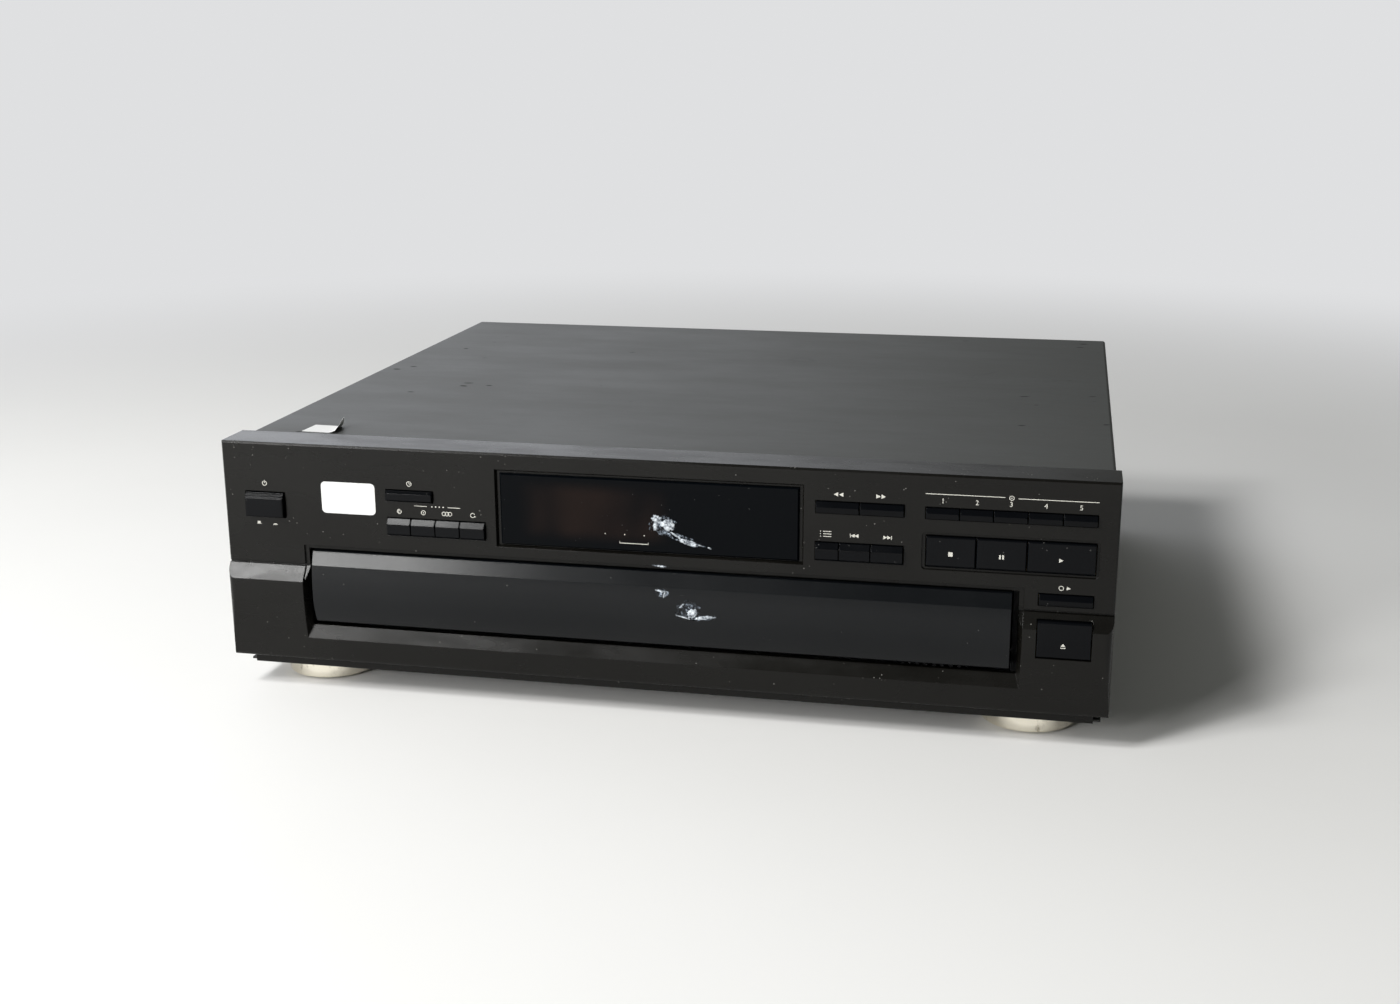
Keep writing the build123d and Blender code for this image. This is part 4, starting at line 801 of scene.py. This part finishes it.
def make_button_marks(ink):
    """Symbols on the stop, pause, play and open/close buttons; each rides on its button."""
    transport = {
        "stop_button": [centred(STOP_X, TRANSPORT_Z, SYMBOL, SYMBOL)],
        "pause_button": [centred(PAUSE_X + side * PAUSE_HALF, TRANSPORT_Z, PAUSE_BAR, SYMBOL)
                         for side in (-1, 1)],
        "play_button": [arrow(PLAY_X, TRANSPORT_Z, SYMBOL, 1)],
    }
    for body, outlines in transport.items():
        mesh = plates(f"{body}_mark", outlines, front_of(body))
        new_piece(f"{body}_mark", mesh, ink, body)
    left, right = EJECT_X - EJECT_WIDTH / 2, EJECT_X + EJECT_WIDTH / 2
    eject = [[(left, EJECT_Z), (right, EJECT_Z), (EJECT_X, EJECT_Z + EJECT_HEIGHT)],
             bar(left, right, EJECT_Z - 0.9, EJECT_Z - 0.5)]
    mesh = plates("eject_mark", eject, front_of("open_close_button") + EJECT_SINK)
    new_piece("eject_mark", mesh, ink, "open_close_button")


def make_window_marks(ink):
    """Three dots and a bracket at the foot of the window."""
    left, right = BRACKET_X
    leg_width, leg_height = BRACKET_LEG
    top = BRACKET_Z + leg_height
    outlines = [dot(WINDOW_DOT_X + WINDOW_DOT_PITCH * k, WINDOW_DOT_Z, 0.28, 8) for k in range(3)]
    outlines += [ruled(left, right, BRACKET_Z), bar(left, left + leg_width, BRACKET_Z, top),
                 bar(right - leg_width, right, BRACKET_Z, top)]
    mesh = plates("window_marks", outlines, front_of("display_window"))
    new_piece("window_marks", mesh, ink, "case")


# ---------------------------------------------------------------- label and tag

LABEL_X, LABEL_Z = (-163.8, -136.0), (92.9, 108.7)
LABEL_CORNER, LABEL_T = 2.2, 0.12
CORNER_STEPS = 5

TAG_AT = (-187.5, 41.0)              # middle of the end that is stuck down
TAG_SIZE = (19.5, 15.0)
TAG_TURN = -3.0
TAG_T, TAG_CLEAR = 0.12, 0.06        # its thickness, and how far it lies off the cover
TAG_STUCK = 0.72                     # the share of its length that lies flat
TAG_LIFT = 5.0                       # how far the far corner has curled up
NEAR_CURL = 0.45                     # the near corner curls this share of the far one
TAG_COLUMNS, TAG_ROWS = 20, 6


def rounded_outline(x0, x1, z0, z1, r):
    """A rectangle with round corners."""
    points = []
    corners = ((x1 - r, z0 + r, 270), (x1 - r, z1 - r, 0), (x0 + r, z1 - r, 90), (x0 + r, z0 + r, 180))
    for cx, cz, start in corners:
        for k in range(CORNER_STEPS + 1):
            a = math.radians(start + 90 * k / CORNER_STEPS)
            points.append((cx + r * math.cos(a), cz + r * math.sin(a)))
    return points


def make_label(paper):
    """Blank paper label on the left of the front."""
    outline = rounded_outline(*LABEL_X, *LABEL_Z, LABEL_CORNER)
    new_piece("blank_label", plates("blank_label", [outline], 0.0, LABEL_T), paper, "case")


def tag_point(u, v):
    """A point of the tag, u along it and v across it, both from 0 to 1."""
    peel = max(0.0, u - TAG_STUCK) / (1.0 - TAG_STUCK) * (NEAR_CURL + (1.0 - NEAR_CURL) * v)
    along = TAG_SIZE[0] * (u - 0.17 * peel ** 1.5)
    across = TAG_SIZE[1] * (v - 0.5)
    turn = math.radians(TAG_TURN)
    x = TAG_AT[0] + along * math.cos(turn) - across * math.sin(turn)
    y = TAG_AT[1] + along * math.sin(turn) + across * math.cos(turn)
    return at(x, y, COVER_TOP + TAG_CLEAR + TAG_LIFT * peel ** 1.6)


def make_tag(paper):
    """A small paper tag stuck on the cover, with one corner curled up."""
    bm = bmesh.new()
    verts = [[bm.verts.new(tag_point(i / TAG_COLUMNS, j / TAG_ROWS)) for j in range(TAG_ROWS + 1)]
             for i in range(TAG_COLUMNS + 1)]
    for i in range(TAG_COLUMNS):
        for j in range(TAG_ROWS):
            bm.faces.new((verts[i][j], verts[i + 1][j], verts[i + 1][j + 1], verts[i][j + 1]))
    mesh = mesh_from(bm, "paper_tag", closed=False)
    piece = new_piece("paper_tag", mesh, paper, "case")
    wall = piece.modifiers.new("wall", "SOLIDIFY")
    wall.thickness, wall.offset = TAG_T * MM, 1.0


# ---------------------------------------------------------------- dried glue

# Each patch: x and z of its middle, width, height, seed of its ragged edge, and turn in degrees.
WINDOW_FILM = ((7.0, 96.0, 15.5, 11.5, 1, 0), (17.0, 89.3, 24.0, 4.6, 2, -17))
WINDOW_CURDS = ((4.2, 98.7, 6.0, 4.4, 3, -20), (9.6, 96.2, 8.6, 6.6, 4, -15), (3.4, 95.2, 2.6, 5.6, 5, 0),
                (20.0, 87.9, 12.5, 2.9, 6, -13), (13.2, 91.2, 7.0, 1.3, 7, -32),
                (29.4, 85.9, 2.4, 1.0, 8, -20))
PANEL_FILM = ((6.0, 75.8, 10.5, 1.4, 9, -4),)
PANEL_CURDS = ((5.6, 75.8, 8.0, 1.0, 10, -4),)
DRAWER_FILM = ((20.3, 56.4, 13.5, 11.5, 11, 0), (7.6, 64.0, 7.6, 4.8, 12, 0),
               (27.0, 53.2, 16.0, 3.2, 13, 6))
DRAWER_CURDS = ((22.2, 55.0, 6.5, 5.0, 14, 30), (28.0, 53.2, 11.5, 2.2, 15, 8),
                (18.0, 52.9, 8.5, 0.9, 16, -14), (7.0, 64.9, 6.0, 1.2, 17, -8),
                (8.6, 63.2, 1.2, 3.6, 18, -15), (17.0, 58.5, 4.5, 1.0, 19, 40))
LOBES = 30                           # points round a patch
SHORTEST_LOBE = 0.66                 # of the patch's half width
FILM_T, FILM_CLEAR = 0.05, 0.02      # height of a patch, and how far its edge stands proud
CURD_T, CURD_CLEAR = 0.22, 0.05
DOME = ((1.0, 0.0), (0.86, 0.5), (0.55, 0.9), (0.25, 1.0))    # shares of the width and height

# The drawer front's face, as heights and distances from the upper face.
CREASE_Z, CREASE_Y, BEVEL_SLOPE = 66.7, -4.0, 0.317
FULL_Z, FULL_Y = 52.0, -5.1          # where it stands out most
FOOT_Z, FOOT_Y = 37.6, -2.1


def ragged_outline(x, z, width, height, seed, turn):
    """A ragged patch outline, turned by an angle in degrees."""
    draw = random.Random(seed)
    cos, sin = math.cos(math.radians(turn)), math.sin(math.radians(turn))
    points = []
    for k in range(LOBES):
        a = 2 * math.pi * k / LOBES
        r = SHORTEST_LOBE + (1.0 - SHORTEST_LOBE) * draw.random()
        u, v = width / 2 * r * math.cos(a), height / 2 * r * math.sin(a)
        points.append((x + u * cos - v * sin, z + u * sin + v * cos))
    return points


def drawer_face_y(z):
    """How far the drawer front's face lies from the upper face at a height, along its curve."""
    if z > CREASE_Z:
        return CREASE_Y + (z - CREASE_Z) * BEVEL_SLOPE
    if z > FULL_Z:
        return FULL_Y + (CREASE_Y - FULL_Y) * ((z - FULL_Z) / (CREASE_Z - FULL_Z)) ** 2
    return FULL_Y + (FOOT_Y - FULL_Y) * ((FULL_Z - z) / (FULL_Z - FOOT_Z)) ** 2


def add_dome(bm, outline, face_y, clear, thickness):
    """Add a domed patch that follows a surface; face_y gives the surface's y at a height."""
    cx = sum(x for x, z in outline) / len(outline)
    cz = sum(z for x, z in outline) / len(outline)
    rings = []
    for share, lift in DOME:
        spread = [(cx + (x - cx) * share, cz + (z - cz) * share) for x, z in outline]
        rings.append([bm.verts.new(at(x, face_y(z) - clear - lift * thickness, z)) for x, z in spread])
    middle = bm.verts.new(at(cx, face_y(cz) - clear - thickness, cz))
    for k in range(len(outline)):
        n = (k + 1) % len(outline)
        for outer, inner in zip(rings, rings[1:]):
            bm.faces.new((outer[k], outer[n], inner[n], inner[k]))
        bm.faces.new((rings[-1][k], rings[-1][n], middle))
    bm.faces.new(rings[0][::-1])


def glue_piece(name, patches, face_y, body, glue, clear, thickness):
    """Domed patches of dried glue in one piece, with smooth faces."""
    bm = bmesh.new()
    for patch in patches:
        add_dome(bm, ragged_outline(*patch), face_y, clear, thickness)
    mesh = mesh_from(bm, name)
    new_piece(name, mesh, glue, body)
    mesh.shade_smooth()


def make_glue(core, film):
    """Dried glue on the window, on the panel under it and on the drawer: curds over a thin film."""
    window_y = front_of("display_window")
    smears = (
        ("window", WINDOW_FILM, WINDOW_CURDS, lambda z: window_y, "case", "smoked_window"),
        ("panel", PANEL_FILM, PANEL_CURDS, lambda z: 0.0, "case", "panel_plastic"),
        ("drawer", DRAWER_FILM, DRAWER_CURDS, drawer_face_y, "drawer", "drawer_gloss"),
    )
    for name, wide, narrow, face_y, body, slot in smears:
        glue_piece(f"glue_film_on_{name}", wide, face_y, body, film, FILM_CLEAR, FILM_T)
        glue_piece(f"glue_on_{name}", narrow, face_y, body, core, CURD_CLEAR, CURD_T)


# ---------------------------------------------------------------- stage

WORLD_DIM = (0.115, 0.118, 0.110)    # the room in front and on the right
WORLD_BRIGHT = (1.50, 1.54, 1.62)    # the pale wall behind on the left
WORLD_SEEN = (0.74, 0.745, 0.755, 1.0)
BRIGHT_WAY = (-0.80, 0.60, 0.0)
BRIGHT_SPAN = (0.50, 0.95)           # from dim to bright, as the cosine of the angle to that way
FLOOR_R, FLOOR_SIDES = 9.0, 96
FLOOR_FADE = (0.55, 1.5)             # metres from the object


def floor_material():
    """Plain pale floor that fades into the pale wall away from the object."""
    finish = Finish("pale_floor")
    soft = finish.noise(3.0, 4.0, 0.6)
    finish.set(Base_Color=finish.mix(soft, (0.75, 0.745, 0.735), (0.79, 0.785, 0.775)), Roughness=0.85)
    away = finish.node("ShaderNodeVectorMath", {0: finish.place}, output="Value", operation="LENGTH")
    fade = finish.ramp(away, *FLOOR_FADE) * finish.node("ShaderNodeLightPath", output="Is Camera Ray")
    wall = finish.node("ShaderNodeEmission", {"Color": WORLD_SEEN})
    plain = Value(finish, finish.shader.outputs[0])
    both = finish.node("ShaderNodeMixShader", {0: fade, 1: plain, 2: wall})
    finish.feed(finish.output.inputs["Surface"], both)
    return finish.material


def make_floor():
    """A wide round floor under the feet."""
    bm = bmesh.new()
    bmesh.ops.create_circle(bm, cap_ends=True, segments=FLOOR_SIDES, radius=FLOOR_R)
    mesh = mesh_from(bm, "floor", closed=False)
    mesh.materials.append(floor_material())
    floor = bpy.data.objects.new("floor", mesh)
    bpy.context.scene.collection.objects.link(floor)


def make_world():
    """Pale light that is stronger from the left and behind; the camera sees an even pale wall."""
    world = bpy.data.worlds.new("studio")
    world.use_nodes = True
    sky = Graph(world.node_tree)
    way = sky.node("ShaderNodeTexCoord", output="Generated")
    facing = sky.node("ShaderNodeVectorMath", {0: way, 1: BRIGHT_WAY}, output="Value",
                      operation="DOT_PRODUCT")
    shade = sky.mix(sky.ramp(facing, *BRIGHT_SPAN), WORLD_DIM, WORLD_BRIGHT)
    lit = sky.node("ShaderNodeBackground", {"Color": shade})
    seen = sky.node("ShaderNodeBackground", {"Color": WORLD_SEEN})
    camera_ray = sky.node("ShaderNodeLightPath", output="Is Camera Ray")
    through_ray = sky.node("ShaderNodeLightPath", output="Is Transmission Ray")
    either = camera_ray.math("MAXIMUM", through_ray)
    both = sky.node("ShaderNodeMixShader", {0: either, 1: lit, 2: seen})
    output = sky.tree.nodes.new("ShaderNodeOutputWorld")
    sky.feed(output.inputs["Surface"], both)
    bpy.context.scene.world = world


# ---------------------------------------------------------------- build

bpy.context.scene.view_settings.view_transform = "Standard"
make_camera()
make_world()
make_lamps()
make_floor()
paint_nodes()
screen_print = print_finish()
make_panel_marks(screen_print)
make_button_marks(screen_print)
make_window_marks(screen_print)
white_paper = label_finish()
make_label(white_paper)
make_tag(white_paper)
make_glue(glue_core(), glue_film())
